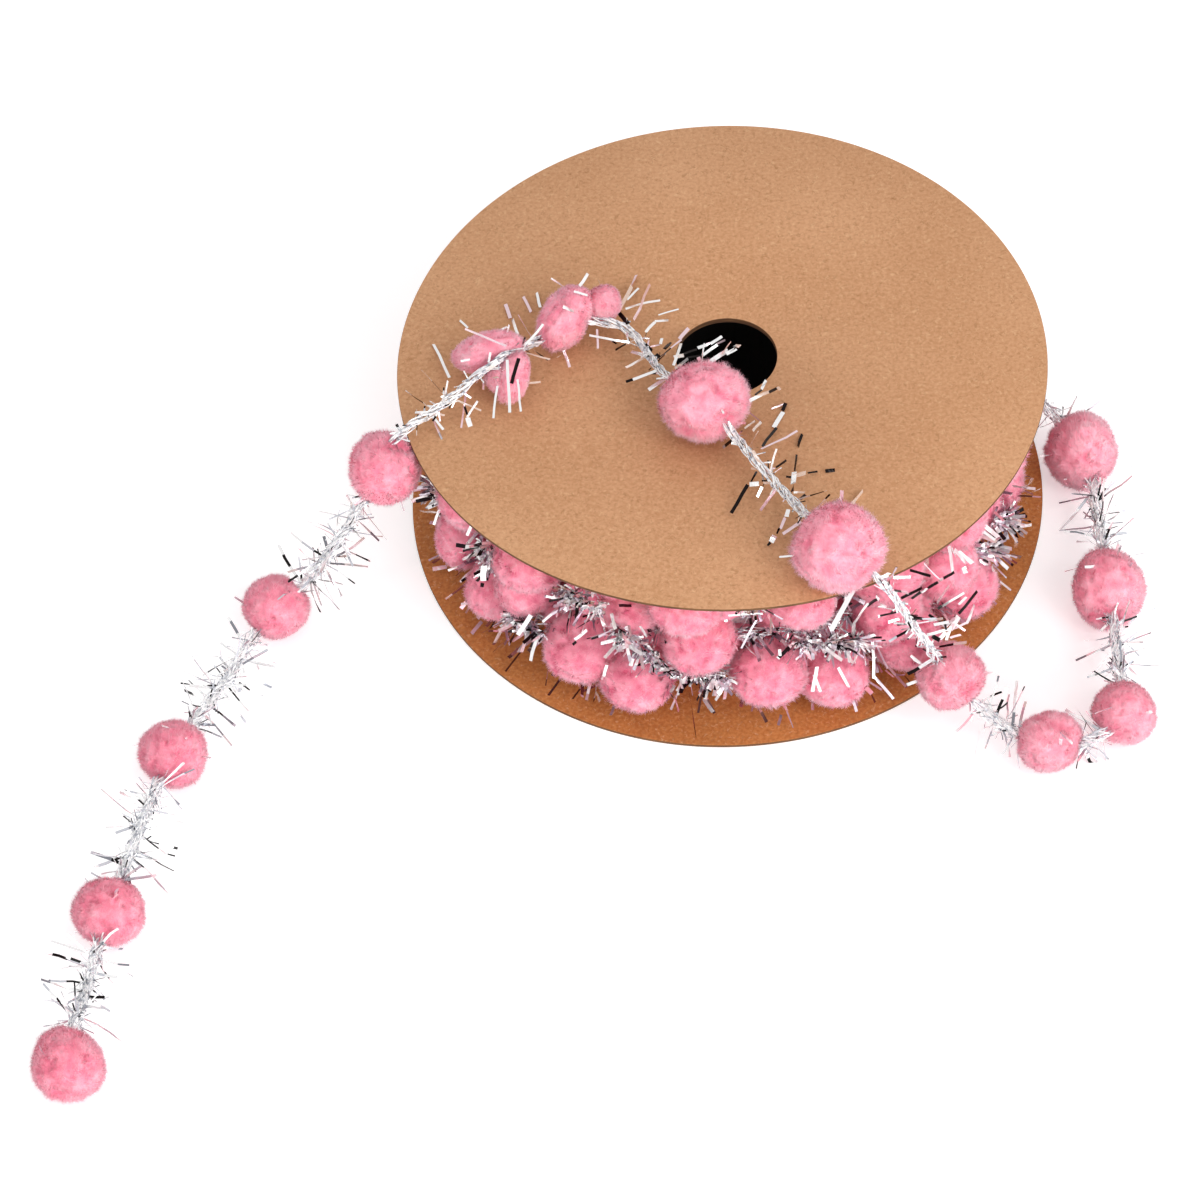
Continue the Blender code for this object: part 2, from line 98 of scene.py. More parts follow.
# The tinsel presses two pompoms into lobes. Shifts and half widths in millimetres are to the photo's right,
# up the photo and towards the viewer, and the turn is in degrees.
Lobe = namedtuple("Lobe", "right up near wide tall deep turn")
lobes = {
    "in line": (Lobe(-2.4, 0.0, 0.0, 3.5, 4.9, 4.2, -25), Lobe(-1.3, 1.7, -0.2, 3.3, 3.2, 3.9, 0),
                Lobe(3.1, 2.1, -1.2, 2.75, 2.75, 3.2, 0)),
    "across": (Lobe(-0.6, 1.9, -3.0, 5.3, 2.95, 4.0, 10), Lobe(3.1, -1.7, 0.0, 2.4, 3.7, 3.0, -14),
               Lobe(1.3, -1.5, -0.5, 2.1, 2.4, 2.7, -30)),
}

Stop = namedtuple("Stop", "x y z pompom form")


def restHeight(pompom, form):
    size = pompom / 2
    if form == "in line":
        size *= pompomForm["largeLobe"]
    return size - pompomForm["flatSpot"]


def onFloor(x, y, pompom, form="round"):
    return Stop(x, y, restHeight(pompom, form), pompom, form)


def onFlange(x, y, pompom, form="round"):
    return Stop(x, y, spool["height"] + spool["gap"] + restHeight(pompom, form), pompom, form)


def hanging(x, y, z, pompom):
    return Stop(x, y, z, pompom, "hanging")


def threadAt(x, y, z):
    return Stop(x, y, z, 0.0, "thread")


route = (
    threadAt(0.0329, 0.0146, 0.0096),
    threadAt(0.0395, 0.0116, 0.0099),
    threadAt(0.0454, 0.0074, 0.0083),
    onFloor(0.0509, 0.0011, 0.0107),
    threadAt(0.0522, -0.0114, 0.0039),
    onFloor(0.0525, -0.0239, 0.0108),
    threadAt(0.0529, -0.0346, 0.0039),
    onFloor(0.0526, -0.0452, 0.0094),
    threadAt(0.0486, -0.0491, 0.0044),
    onFloor(0.0425, -0.0498, 0.0091),
    threadAt(0.0360, -0.0466, 0.0053),
    hanging(0.0295, -0.0416, 0.0092, 0.0092),
    threadAt(0.0262, -0.0423, 0.0176),
    threadAt(0.0234, -0.0432, 0.0250),
    threadAt(0.0213, -0.0428, 0.0298),
    threadAt(0.0185, -0.0412, 0.0330),
    onFlange(0.0144, -0.0384, 0.0126),
    threadAt(0.0063, -0.0252, 0.0329),
    onFlange(-0.0026, -0.0126, 0.0122),
    threadAt(-0.0084, -0.0046, 0.0329),
    threadAt(-0.0124, 0.0032, 0.0325),
    threadAt(-0.0149, 0.0057, 0.0329),
    onFlange(-0.0192, 0.0049, 0.0120, "in line"),
    threadAt(-0.0250, 0.0016, 0.0331),
    onFlange(-0.0317, -0.0042, 0.0114, "across"),
    threadAt(-0.0382, -0.0088, 0.0325),
    threadAt(-0.0426, -0.0120, 0.0320),
    threadAt(-0.0459, -0.0140, 0.0302),
    hanging(-0.0479, -0.0149, 0.0260, 0.0100),
    threadAt(-0.0509, -0.0162, 0.0196),
    threadAt(-0.0548, -0.0179, 0.0132),
    threadAt(-0.0590, -0.0196, 0.0082),
    onFloor(-0.0636, -0.0214, 0.0100),
    threadAt(-0.0702, -0.0330, 0.0039),
    onFloor(-0.0769, -0.0460, 0.0102),
    threadAt(-0.0812, -0.0586, 0.0039),
    onFloor(-0.0843, -0.0719, 0.0099),
    threadAt(-0.0868, -0.0834, 0.0039),
    onFloor(-0.0884, -0.0954, 0.0104, "last"),
    threadAt(-0.0892, -0.1020, 0.0046),
)
pompomStops = [k for k, stop in enumerate(route) if stop.pompom]


def smoothLine(points, steps=24):
    # A centripetal Catmull-Rom curve, and where it passes each of its points
    ends = [points[0] * 2 - points[1]] + list(points) + [points[-1] * 2 - points[-2]]
    dense, places = [], []
    for k in range(1, len(ends) - 2):
        before, start, stop, after = ends[k - 1:k + 3]
        knots = [0.0]
        for a, b in ((before, start), (start, stop), (stop, after)):
            knots.append(knots[-1] + math.sqrt((b - a).length))
        places.append(len(dense))
        for step in range(steps):
            t = knots[1] + (knots[2] - knots[1]) * step / steps
            a1 = before.lerp(start, (t - knots[0]) / (knots[1] - knots[0]))
            a2 = start.lerp(stop, (t - knots[1]) / (knots[2] - knots[1]))
            a3 = stop.lerp(after, (t - knots[2]) / (knots[3] - knots[2]))
            b1 = a1.lerp(a2, (t - knots[0]) / (knots[2] - knots[0]))
            b2 = a2.lerp(a3, (t - knots[1]) / (knots[3] - knots[1]))
            dense.append(b1.lerp(b2, (t - knots[1]) / (knots[2] - knots[1])))
    places.append(len(dense))
    dense.append(points[-1].copy())
    return np.array(dense), places


def unit(vectors):
    return vectors / np.maximum(np.linalg.norm(vectors, axis=-1, keepdims=True), tiny)


class Line:
    # A line through space that is read by the length run along it
    def __init__(self, points):
        self.points = points
        steps = np.linalg.norm(np.diff(points, axis=0), axis=1)
        self.runs = np.concatenate([[0.0], np.cumsum(steps)])
        self.length = self.runs[-1]

    def at(self, lengths):
        lengths = np.asarray(lengths, float)
        inside = np.clip(lengths, 0, self.length)
        return np.stack([np.interp(inside, self.runs, self.points[:, k]) for k in range(3)], -1)

    def axes(self, lengths, reach=2.2 * mm):
        lengths = np.asarray(lengths, float)
        along = unit(self.at(lengths + reach) - self.at(lengths - reach))
        side = unit(np.cross(along, (0.0, 0.0, 1.0)))
        return along, side, np.cross(side, along)


densePoints, knotPlaces = smoothLine([Vector((stop.x, stop.y, stop.z)) for stop in route])
looseLine = Line(densePoints)
stopRuns = [looseLine.runs[place] for place in knotPlaces]
threadEnd = stopRuns[pompomStops[-1]] + pompomForm["threadPast"]

# Nodes and colours


def linearColour(hexColour):
    channels = [int(hexColour[k:k + 2], 16) / 255 for k in (0, 2, 4)]
    return [c / 12.92 if c <= 0.04045 else ((c + 0.055) / 1.055) ** 2.4 for c in channels] + [1.0]


def addNode(tree, kind, inputs=None, stops=None, **settings):
    # A node among the inputs stands for its first output
    added = tree.nodes.new("ShaderNode" + kind)
    for name, value in settings.items():
        setattr(added, name, value)
    for name, value in (inputs or {}).items():
        if isinstance(value, bpy.types.Node):
            value = value.outputs[0]
        if isinstance(value, bpy.types.NodeSocket):
            tree.links.new(value, added.inputs[name])
        else:
            added.inputs[name].default_value = value
    if stops:
        ramp = added.color_ramp
        while len(ramp.elements) < len(stops):
            ramp.elements.new(0.5)
        for element, (place, colour) in zip(ramp.elements, stops):
            element.position = place
            element.color = linearColour(colour)
    return added


def newMaterial(name, **values):
    made = bpy.data.materials.new(name)
    made.use_nodes = True
    shader = made.node_tree.nodes["Principled BSDF"]
    for socket, value in values.items():
        shader.inputs[socket.replace("_", " ")].default_value = value
    return made, made.node_tree, shader


# Kraft board: unbleached pulp pressed flat. It is matt, with fibres that show as short light and dark hairs.
kraft = {
    "face": ("BB875E", "CC9971"),
    # The 'inner' colours are the same board painted darker and redder: painted shade for the sides facing
    # the gap
    "inner": ("A65F28", "C07B40"),
    "mottle": 22 * mm,
    "mottleShare": 0.5,
    "grain": 0.5 * mm,
    "tones": (0.57, 0.93),
    "relief": 0.05 * mm,
    # The fibres' shift, colour and strength
    "fibres": ((0.0, "93653A", 0.42), (0.37, "E2B88E", 0.34), (0.71, "96653C", 0.36)),
    "fibre": 1.0 * mm,
    "curl": 0.8,
    "fade": (0.01, 0.04),  # from a fibre's middle outwards
    "patch": 0.625 * mm,
    "patches": (0.5, 0.68),
    "edge": ((0.35, "543620"), (0.65, "74502F")),
    "ply": 3 * mm,
    "plies": 12.0,
}


def kraftBoard(name, colours):
    made, tree, shader = newMaterial(name, Roughness=0.82, IOR=1.5)
    place = addNode(tree, "TexCoord").outputs["Object"]
    mottle = addNode(tree, "TexNoise", {"Vector": place, "Scale": 1 / kraft["mottle"], "Detail": 4.0})
    grain = addNode(tree, "TexNoise", {"Vector": place, "Scale": 1 / kraft["grain"], "Detail": 3.0})
    blend = addNode(tree, "Math", {0: mottle, 1: kraft["mottleShare"], 2: grain}, operation="MULTIPLY_ADD")
    least, most = kraft["tones"]
    tone = addNode(tree, "MapRange", {"Value": blend, "From Min": least, "From Max": most})
    mixed = addNode(tree, "ValToRGB", {"Fac": tone}, ((0, colours[0]), (1, colours[1])))
    for shift, hair, strength in kraft["fibres"]:
        moved = addNode(tree, "Mapping", {"Vector": place, "Location": (shift, shift / 3, 0.0)})
        curl = addNode(tree, "TexNoise", {"Vector": moved, "Scale": 1 / kraft["fibre"], "Detail": 1.0,
                                          "Distortion": kraft["curl"]})
        middle = addNode(tree, "Math", {0: curl, 1: 0.5}, operation="SUBTRACT")
        away = addNode(tree, "Math", {0: middle}, operation="ABSOLUTE")
        near, far = kraft["fade"]
        line = addNode(tree, "MapRange", {"Value": away, "From Min": near, "From Max": far,
                                          "To Min": 1.0, "To Max": 0.0})
        patches = addNode(tree, "TexNoise", {"Vector": moved, "Scale": 1 / kraft["patch"], "Detail": 0.0})
        least, most = kraft["patches"]
        where = addNode(tree, "MapRange", {"Value": patches, "From Min": least, "From Max": most,
                                           "To Max": strength})
        share = addNode(tree, "Math", {0: line, 1: where}, operation="MULTIPLY")
        mixed = addNode(tree, "MixRGB", {"Fac": share, "Color1": mixed, "Color2": linearColour(hair)})
    bump = addNode(tree, "Bump", {"Height": grain, "Strength": 0.25, "Distance": kraft["relief"]})
    tree.links.new(mixed.outputs[0], shader.inputs["Base Color"])
    tree.links.new(bump.outputs[0], shader.inputs["Normal"])
    return made


# The board's cut edge: the same pulp, coloured darker than the faces, in plies
def kraftEdge(name):
    made, tree, shader = newMaterial(name, Roughness=0.9, IOR=1.5)
    place = addNode(tree, "TexCoord").outputs["Object"]
    layers = addNode(tree, "Mapping", {"Vector": place, "Scale": (1.0, 1.0, kraft["plies"])})
    plies = addNode(tree, "TexNoise", {"Vector": layers, "Scale": 1 / kraft["ply"], "Detail": 3.0})
    colour = addNode(tree, "ValToRGB", {"Fac": plies}, kraft["edge"])
    tree.links.new(colour.outputs[0], shader.inputs["Base Color"])
    return made


# Spiral-wound grey-brown tube board. Inside the hole it is painted nearly black: painted shade.
tubeColours = {
    "outside": ((0.3, "54402E"), (0.7, "6F563F")),
    # Painted shade: the hole's wall is coloured nearly black
    "inside": ((0.3, "070504"), (0.7, "120C08")),
    "fibre": 1.2 * mm,
}


def tubeBoard(name, colours):
    made, tree, shader = newMaterial(name, Roughness=0.95, IOR=1.45)
    place = addNode(tree, "TexCoord").outputs["Object"]
    fibres = addNode(tree, "TexNoise", {"Vector": place, "Scale": 1 / tubeColours["fibre"], "Detail": 4.0})
    colour = addNode(tree, "ValToRGB", {"Fac": fibres}, colours)
    tree.links.new(colour.outputs[0], shader.inputs["Base Color"])
    return made


# Acrylic plush: short soft fibres that lie over each other. Painted light and shade: paler tips, deeper
# creases
# The ramp runs by depth in the pile, so creases and the thread's dent get painted shade, tips painted light
plush = {
    "loose": ((0.0, "EC7C95"), (0.5, "FDA9BB"), (1.0, "FFCBD6")),
    # The wound copy is deeper: painted shade for the pompoms on the roll, which are the same as the loose
    # ones
    "wound": ((0.0, "DC6280"), (0.5, "FA9BB0"), (1.0, "FFC8D4")),
    "sheen": "FBE3EC",
    "patch": 1.8 * mm,
    "patches": (0.3, 0.7, -0.3, 0.26),  # the noise from low to high makes the pile this much deeper or paler
}


def acrylicPlush(name, colours):
    made, tree, shader = newMaterial(name, Roughness=0.95, IOR=1.4, Sheen_Weight=0.45, Sheen_Roughness=0.5)
    shader.inputs["Sheen Tint"].default_value = linearColour(plush["sheen"])
    place = addNode(tree, "TexCoord").outputs["Object"]
    depth = addNode(tree, "Attribute", attribute_name="paintedPileShade").outputs["Fac"]
    patches = addNode(tree, "TexNoise", {"Vector": place, "Scale": 1 / plush["patch"], "Detail": 4.0})
    low, high, least, most = plush["patches"]
    shade = addNode(tree, "MapRange", {"Value": patches, "From Min": low, "From Max": high,
                                       "To Min": least, "To Max": most})
    level = addNode(tree, "Math", {0: depth, 1: shade}, operation="ADD")
    colour = addNode(tree, "ValToRGB", {"Fac": level}, colours)
    tree.links.new(colour.outputs[0], shader.inputs["Base Color"])
    return made


# Slit metallised film: a mirror on a creased strip. Its bright and dark lengths are painted reflection,
# painted into the colour. Stops give the share of each: bright, silver, grey and dark.
foil = {
    # One copy per place, each painted with what it reflects there: board, floor, roll, and pompoms and
    # boards in shade
    "overBoard": ((0.0, "FFFFFF"), (0.5, "F3D9E0"), (0.6, "C9CBD3"), (0.68, "120403")),
    "overFloor": ((0.0, "FFFFFF"), (0.5, "D3D5DC"), (0.76, "8C8E96"), (0.88, "0A0807")),
    "wound": ((0.0, "FFFFFF"), (0.5, "D9CFDA"), (0.72, "99808F"), (0.85, "1C0D12")),
    "fringe": ((0.0, "F2DDE2"), (0.24, "BF8F97"), (0.52, "98605E"), (0.8, "56302B")),
    "crease": 2.1 * mm,
    "creases": 50,
    "allTones": 0.999,
}


def metallisedFilm(name, shares):
    made, tree, shader = newMaterial(name, Roughness=0.22, Metallic=0.65)
    place = addNode(tree, "Attribute", attribute_name="foilPlace").outputs["Vector"]
    parts = addNode(tree, "VectorMath", {0: place}, operation="FLOOR")
    chance = addNode(tree, "TexWhiteNoise", {"Vector": parts}, noise_dimensions="3D")
    variety = addNode(tree, "SeparateXYZ", {"Vector": place}).outputs["Z"]
    tone = addNode(tree, "Attribute", attribute_name="paintedFoilReflection").outputs["Fac"]
    share = addNode(tree, "Math", {0: chance, 1: variety, 2: tone}, operation="MULTIPLY_ADD")
    # The ramp paints the film's reflection into its colour: painted reflection
    colour = addNode(tree, "ValToRGB", {"Fac": share}, shares)
    colour.color_ramp.interpolation = "CONSTANT"
    tree.links.new(colour.outputs[0], shader.inputs["Base Color"])
    return made


# Metallic yarn: fine white and silver strands laid together, satin, with glints and dark lines painted in
yarn = {
    "colours": ((0.33, "9A9CA6"), (0.43, "DEE0E6"), (0.52, "FFFFFF")),
    "glint": 0.6 * mm,
    "relief": 0.1 * mm,
}


def metallicYarn(name):
    made, tree, shader = newMaterial(name, Roughness=0.4, Metallic=0.25)
    place = addNode(tree, "TexCoord").outputs["Object"]
    paintedGlintsAndBumps = addNode(tree, "TexNoise", {"Vector": place, "Scale": 1 / yarn["glint"], "Detail": 3.0})
    # White spots are painted glints and grey lines painted shade between strands, partly the silver strands'
    # own grey
    colour = addNode(tree, "ValToRGB", {"Fac": paintedGlintsAndBumps}, yarn["colours"])
    bump = addNode(tree, "Bump", {"Height": paintedGlintsAndBumps, "Strength": 0.5, "Distance": yarn["relief"]})
    tree.links.new(colour.outputs[0], shader.inputs["Base Color"])
    tree.links.new(bump.outputs[0], shader.inputs["Normal"])
    return made


materials = {
    "face": kraftBoard("kraftBoard", kraft["face"]),
    "inner": kraftBoard("kraftBoardPaintedShade", kraft["inner"]),
    "edge": kraftEdge("kraftEdge"),
    "tube": tubeBoard("tubeBoard", tubeColours["outside"]),
    "tubePaintedShadeInside": tubeBoard("tubeBoardPaintedShadeInside", tubeColours["inside"]),
    "plush": acrylicPlush("acrylicPlush", plush["loose"]),
    "rollPlush": acrylicPlush("acrylicPlushWoundPaintedShade", plush["wound"]),
    "boardFoil": metallisedFilm("metallisedFilmPaintedReflectionOverBoard", foil["overBoard"]),
    "floorFoil": metallisedFilm("metallisedFilmPaintedReflectionOverFloor", foil["overFloor"]),
    "rollFoil": metallisedFilm("metallisedFilmPaintedReflectionWound", foil["wound"]),
    "fringeFoil": metallisedFilm("metallisedFilmPaintedReflectionFringe", foil["fringe"]),
    "yarn": metallicYarn("metallicYarn"),
}
print("materials made")

# Meshes from arrays


def selectOnly(*pieces):
    for thing in bpy.context.selected_objects:
        thing.select_set(False)
    for piece in pieces:
        bpy.context.view_layer.objects.active = piece
        piece.select_set(True)


def facesOut(piece):
    # Turns every face outwards and rounds the shading
    selectOnly(piece)
    bpy.ops.object.mode_set(mode="EDIT")
    bpy.ops.mesh.select_all(action="SELECT")
    bpy.ops.mesh.normals_make_consistent(inside=False)
    bpy.ops.object.mode_set(mode="OBJECT")
    piece.data.shade_smooth()


def newPiece(name, points, faces, material):
    mesh = bpy.data.meshes.new(name)
    mesh.from_pydata(points, [], [corners for group in faces for corners in group.tolist()])
    mesh.materials.append(material)
    made = bpy.data.objects.new(name, mesh)
    bpy.context.scene.collection.objects.link(made)
    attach(made, "root")
    return made


def addValues(piece, name, kind, values):
    attribute = piece.data.attributes.new(name, kind, "POINT")
    field = "vector" if kind == "FLOAT_VECTOR" else "value"
    attribute.data.foreach_set(field, np.ravel(values).astype(np.float32))


def joined(parts):
    # Several (points, faces, values) as one, with the faces of each as a list of arrays
    points = np.concatenate([part[0] for part in parts])
    values = np.concatenate([part[2] for part in parts])
    faces, start = [], 0
    for part in parts:
        faces += [corners + start for corners in part[1]]
        start += len(part[0])
    return points, faces, values


# Spool


def turnedBoard(name, bottom, upperSide, underside):
    # A flat ring with rounded corners, spun from its section
    inner, outer, top = spool["hole"], spool["radius"], bottom + spool["board"]
    c, cut = spool["corner"], spool["cornerCut"]
    section = [(inner + c, bottom), (outer - c, bottom), (outer - cut, bottom + cut), (outer, bottom + c),
               (outer, top - c), (outer - cut, top - cut), (outer - c, top), (inner + c, top),
               (inner + cut, top - cut), (inner, top - c), (inner, bottom + c), (inner + cut, bottom + cut)]
    edges = [(k, (k + 1) % len(section)) for k in range(len(section))]
    mesh = bpy.data.meshes.new(name)
    mesh.from_pydata([(r, 0.0, z) for r, z in section], edges, [])
    made = bpy.data.objects.new(name, mesh)
    bpy.context.scene.collection.objects.link(made)
    selectOnly(made)
    bpy.ops.object.mode_set(mode="EDIT")
    bpy.ops.mesh.select_all(action="SELECT")
    bpy.ops.mesh.spin(steps=spool["steps"], angle=math.tau, center=(0, 0, 0), axis=(0, 0, 1))
    bpy.ops.mesh.select_all(action="SELECT")
    bpy.ops.mesh.remove_doubles(threshold=spool["merge"])
    bpy.ops.object.mode_set(mode="OBJECT")
    facesOut(made)
    for chosen in (upperSide, underside, "edge"):
        mesh.materials.append(materials[chosen])
    for face in mesh.polygons:
        if abs(face.normal.z) > spool["level"]:
            face.material_index = int(face.normal.z < 0)
        elif abs(face.normal.z) < spool["upright"]:
            face.material_index = 2
    mesh.set_sharp_from_angle(angle=math.radians(spool["sharp"]))
    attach(made, "root")
    return made


def shareOut(radius):
    return np.clip((radius - spool["hole"]) / (spool["radius"] - spool["hole"]), 0, 1)


def boardRise(x, y):
    radius = np.hypot(x, y)
    towards = (x * spool["riseWay"][0] + y * spool["riseWay"][1]) / np.maximum(radius, spool["hole"])
    return spool["rise"] * np.maximum(towards, 0) ** 2 * shareOut(radius)


def settleUpper(piece):
    for vertex in piece.data.vertices:
        place = vertex.co
        radius = math.hypot(place.x, place.y)
        middle = 1 - shareOut(radius)
        place.z += boardRise(place.x, place.y)
        if middle > spool["holeEdge"] and place.z < spool["height"] - spool["board"] / 2:
            place.z -= spool["burr"]
        place.x += spool["holeShift"][0] * middle
        place.y += spool["holeShift"][1] * middle


def makeSpool():
    # The upper board's underside and the lower board's top face take the 'inner' colours, which are painted
    # shade
    upper = turnedBoard("upperFlange", spool["height"] - spool["board"], "face", "inner")
    settleUpper(upper)
    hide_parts("flange_upper")
    lower = turnedBoard("lowerFlange", 0.0, "inner", "face")
    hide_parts("flange_lower")
    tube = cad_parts["core_tube"]
    tube.data.materials.clear()
    tube.data.materials.append(materials["tube"])
    tube.data.materials.append(materials["tubePaintedShadeInside"])
    middle = spool["tubeRadius"] - spool["tubeWall"] / 2
    # The faces of the hole's wall get the nearly black painted shade
    for face in tube.data.polygons:
        face.material_index = int(math.hypot(face.center.x, face.center.y) < middle)


makeSpool()
print("spool made")

# Thread: fine strands laid together loosely

thread = {"diameter": 2.0 * mm, "strands": 15, "strandRadius": 0.095 * mm, "innerReach": 0.15 * mm,
          "outerReach": 0.85 * mm, "lay": 13 * mm, "wander": 1.1, "step": 0.5 * mm, "sides": 5,
          "waves": ((17 * mm, 7 * mm), (9 * mm, 3.6 * mm)), "swings": (0.6, 0.4),
          "tight": (6 * mm, 31 * mm), "spread": (1.15, 0.8), "rollStep": 0.8 * mm, "rollStrands": 7}
viewHeight = math.radians(camera["elevation"])
towardsViewer = np.array((0, -math.cos(viewHeight), math.sin(viewHeight)))
upThePhoto = np.array((0, math.sin(viewHeight), math.cos(viewHeight)))

# Where the thread leaves the pompoms' middles, by form: how far before the pompom, the reach, and the shift
threadLifts = {
    "across": (2.6 * mm, 3.6 * mm, towardsViewer * 2.2 * mm),
    "in line": (4.0 * mm, 3.4 * mm, towardsViewer * 1.3 * mm - upThePhoto * 1.1 * mm),
    "last": (5.4 * mm, 2.4 * mm, towardsViewer * 3.4 * mm),
}


def liftedLine():
    points = looseLine.points.copy()
    for k in pompomStops:
        if route[k].form in threadLifts:
            before, reach, shift = threadLifts[route[k].form]
            near = np.exp(-((looseLine.runs - stopRuns[k] + before) / reach) ** 2)
            points += near[:, None] * shift
    return Line(points)


threadLine = liftedLine()


def laidStrands(line, start, stop, seed, closed=False, step=None, strands=None):
    # Strands that run round a line and wander in and out, each a tube of its own
    count = round((stop - start) / (step or thread["step"]))
    lengths = np.linspace(start, stop, count + 1)[:count if closed else None]
    centres = line.at(lengths)
    _, side, up = line.axes(lengths)
    chance = np.random.default_rng(seed)
    run = math.tau * (lengths - start) / (stop - start)
    turns = max(1, round((stop - start) / thread["lay"]))
    strands = strands or thread["strands"]
    sides = thread["sides"]
    large, small = thread["swings"]
    total = len(lengths)
    near = np.arange(total if closed else total - 1)[:, None] * sides
    far = (near + sides) % (total * sides)
    around = np.arange(sides)[None, :]
    after = (around + 1) % sides
    tube = [np.stack([near + around, near + after, far + after, far + around], -1).reshape(-1, 4)]
    if not closed:
        tube.append(np.array([range(sides), range(total * sides - 1, (total - 1) * sides - 1, -1)])[:, ::-1])
    parts = []
    for strand in range(strands):
        waves = []
        for longest, shortest in thread["waves"]:
            swings = np.maximum(1, np.round((stop - start) / chance.uniform(shortest, longest, 2)))
            starts = chance.uniform(0, math.tau, 2)
            waves.append(np.sin(run * swings[0] + starts[0]) * large
                         + np.sin(run * swings[1] + starts[1]) * small)
        angle = turns * run + math.tau * strand / strands + thread["wander"] * waves[0]
        room = thread["outerReach"] - thread["innerReach"]
        reach = thread["innerReach"] + room * (large + small * waves[1])
        reach *= np.interp(centres[:, 2], thread["tight"], thread["spread"])
        middle = centres + (np.cos(angle)[:, None] * up + np.sin(angle)[:, None] * side) * reach[:, None]
        rings = []
        for k in range(sides):
            a = math.tau * k / sides
            rings.append(middle + (math.cos(a) * up + math.sin(a) * side) * thread["strandRadius"])
        points = np.stack(rings, 1).reshape(-1, 3)
        parts.append((points, tube, np.zeros(len(points))))
    return joined(parts)


def makeLooseThread():
    points, faces, _ = laidStrands(threadLine, 0.0, threadEnd, seeds["thread"])
    made = newPiece("looseThread", points, faces, materials["yarn"])
    facesOut(made)
    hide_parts("loose_thread")
    return made


looseThread = makeLooseThread()
print("thread made")

# Pompoms

pile = {
    "coreLevel": 4,
    "innerLevel": 3,
    "core": 0.93,  # the felted middle, as a share of the pompom's radius
    "root": 0.89,
    "fibres": 11000,
    "rollFibres": 8000,
    "innerFibres": 900,
    "lobeShare": 0.65,
    "width": 0.13 * mm,
    "strayWidth": 0.07 * mm,
    "strayShare": 0.3,
    "strayHigh": 1.06,
    "lie": 0.8 * mm,  # how far a fibre's tip lies aside from its root
    "tipLow": 0.95,
    "tipHigh": 1.01,
    "creaseDepth": 0.07,
    "creaseWidth": 0.27,
    "dentDepth": 0.14,
    "dentWidth": 0.36,
    "waves": 30,
    "fields": ((4.0, 11.0), (4.0, 11.0), (12.0, 24.0)),  # creases, where they are, and tufts
    "tuftHeight": 0.014,
    "tuftDepth": 0.09,
    "lumps": 9,
    "lumpLow": 1.6,
    "lumpHigh": 4.2,
    "lumpHeight": 0.036,
    "upwards": 0.8,  # fibres show their flat side upwards more than sideways
    "facing": 0.3,
    "roughNormal": 0.22,
    "normalStep": 0.02,
    "skew": (0.3, 0.5, 0.8),
    "foldEnds": 2,
    "uneven": 0.7,
    "combed": 0.12,
    "leastLie": 0.3,
    # Depths in the pile, from 0 in a crease to 1 at a tip, and what a crease takes off. They paint the
    # colour: low depths get painted shade, tips painted light.
    "coreDepth": (0.42, 0.4),
    "rootDepth": (0.5, 0.35),
    "tipDepth": (0.78, 0.45),
    "depthNoise": 0.08,
}
# How much paler or deeper a loose pompom is painted, by its number: painted light and shade, as all are
# alike
pompomPaintedLight = {1: 0.12, 6: -0.03, 10: -0.12, 11: -0.16, 12: -0.2, 13: -0.18, 14: -0.17}
# How a loose pompom differs from its ball: shifts in millimetres to the photo's right, up it and towards the
# viewer, and scales across and up the photo
Trim = namedtuple("Trim", "right up wide tall near", defaults=(0.0,))
trims = {
    1: Trim(-0.3, 0.0, 1.06, 1.07), 2: Trim(0.0, 0.0, 0.99, 1.1), 3: Trim(0.5, 0.0, 0.95, 1.0),
    4: Trim(-0.1, 0.5, 1.07, 0.94), 5: Trim(0.0, 0.4, 1.05, 1.02), 6: Trim(0.1, -0.4, 1.1, 1.0),
    7: Trim(0.1, 0.2, 1.1, 0.93), 8: Trim(0.0, 0.0, 1.0, 0.95), 9: Trim(0.0, 0.0, 1.0, 1.0),
    10: Trim(1.35, 0.3, 1.06, 1.05, 1.2), 11: Trim(0.2, 0.2, 0.96, 0.93), 12: Trim(0.1, 0.0, 0.97, 0.93),
    13: Trim(0.0, 0.3, 1.0, 0.94), 14: Trim(0.0, 0.0, 0.99, 0.98),
}


def evenDirections(count, chance):
    # Directions spread evenly over a ball, each moved a little
    k = np.arange(count) + 0.5
    level = 1 - 2 * k / count
    turn = math.pi * (1 + math.sqrt(5)) * k
    flat = np.sqrt(1 - level ** 2)
    made = np.stack([np.cos(turn) * flat, np.sin(turn) * flat, level], 1)
    return unit(made + chance.normal(0, pile["uneven"] / math.sqrt(count), made.shape))


def coreDirections(level):
    selectOnly()
    bpy.ops.mesh.primitive_ico_sphere_add(subdivisions=level, radius=1.0)
    ball = bpy.context.object
    points = np.array([v.co for v in ball.data.vertices])
    faces = np.array([list(face.vertices) for face in ball.data.polygons])
    bpy.data.objects.remove(ball, do_unlink=True)
    return unit(points), faces


coreShapes = {level: coreDirections(level) for level in (pile["innerLevel"], pile["coreLevel"])}


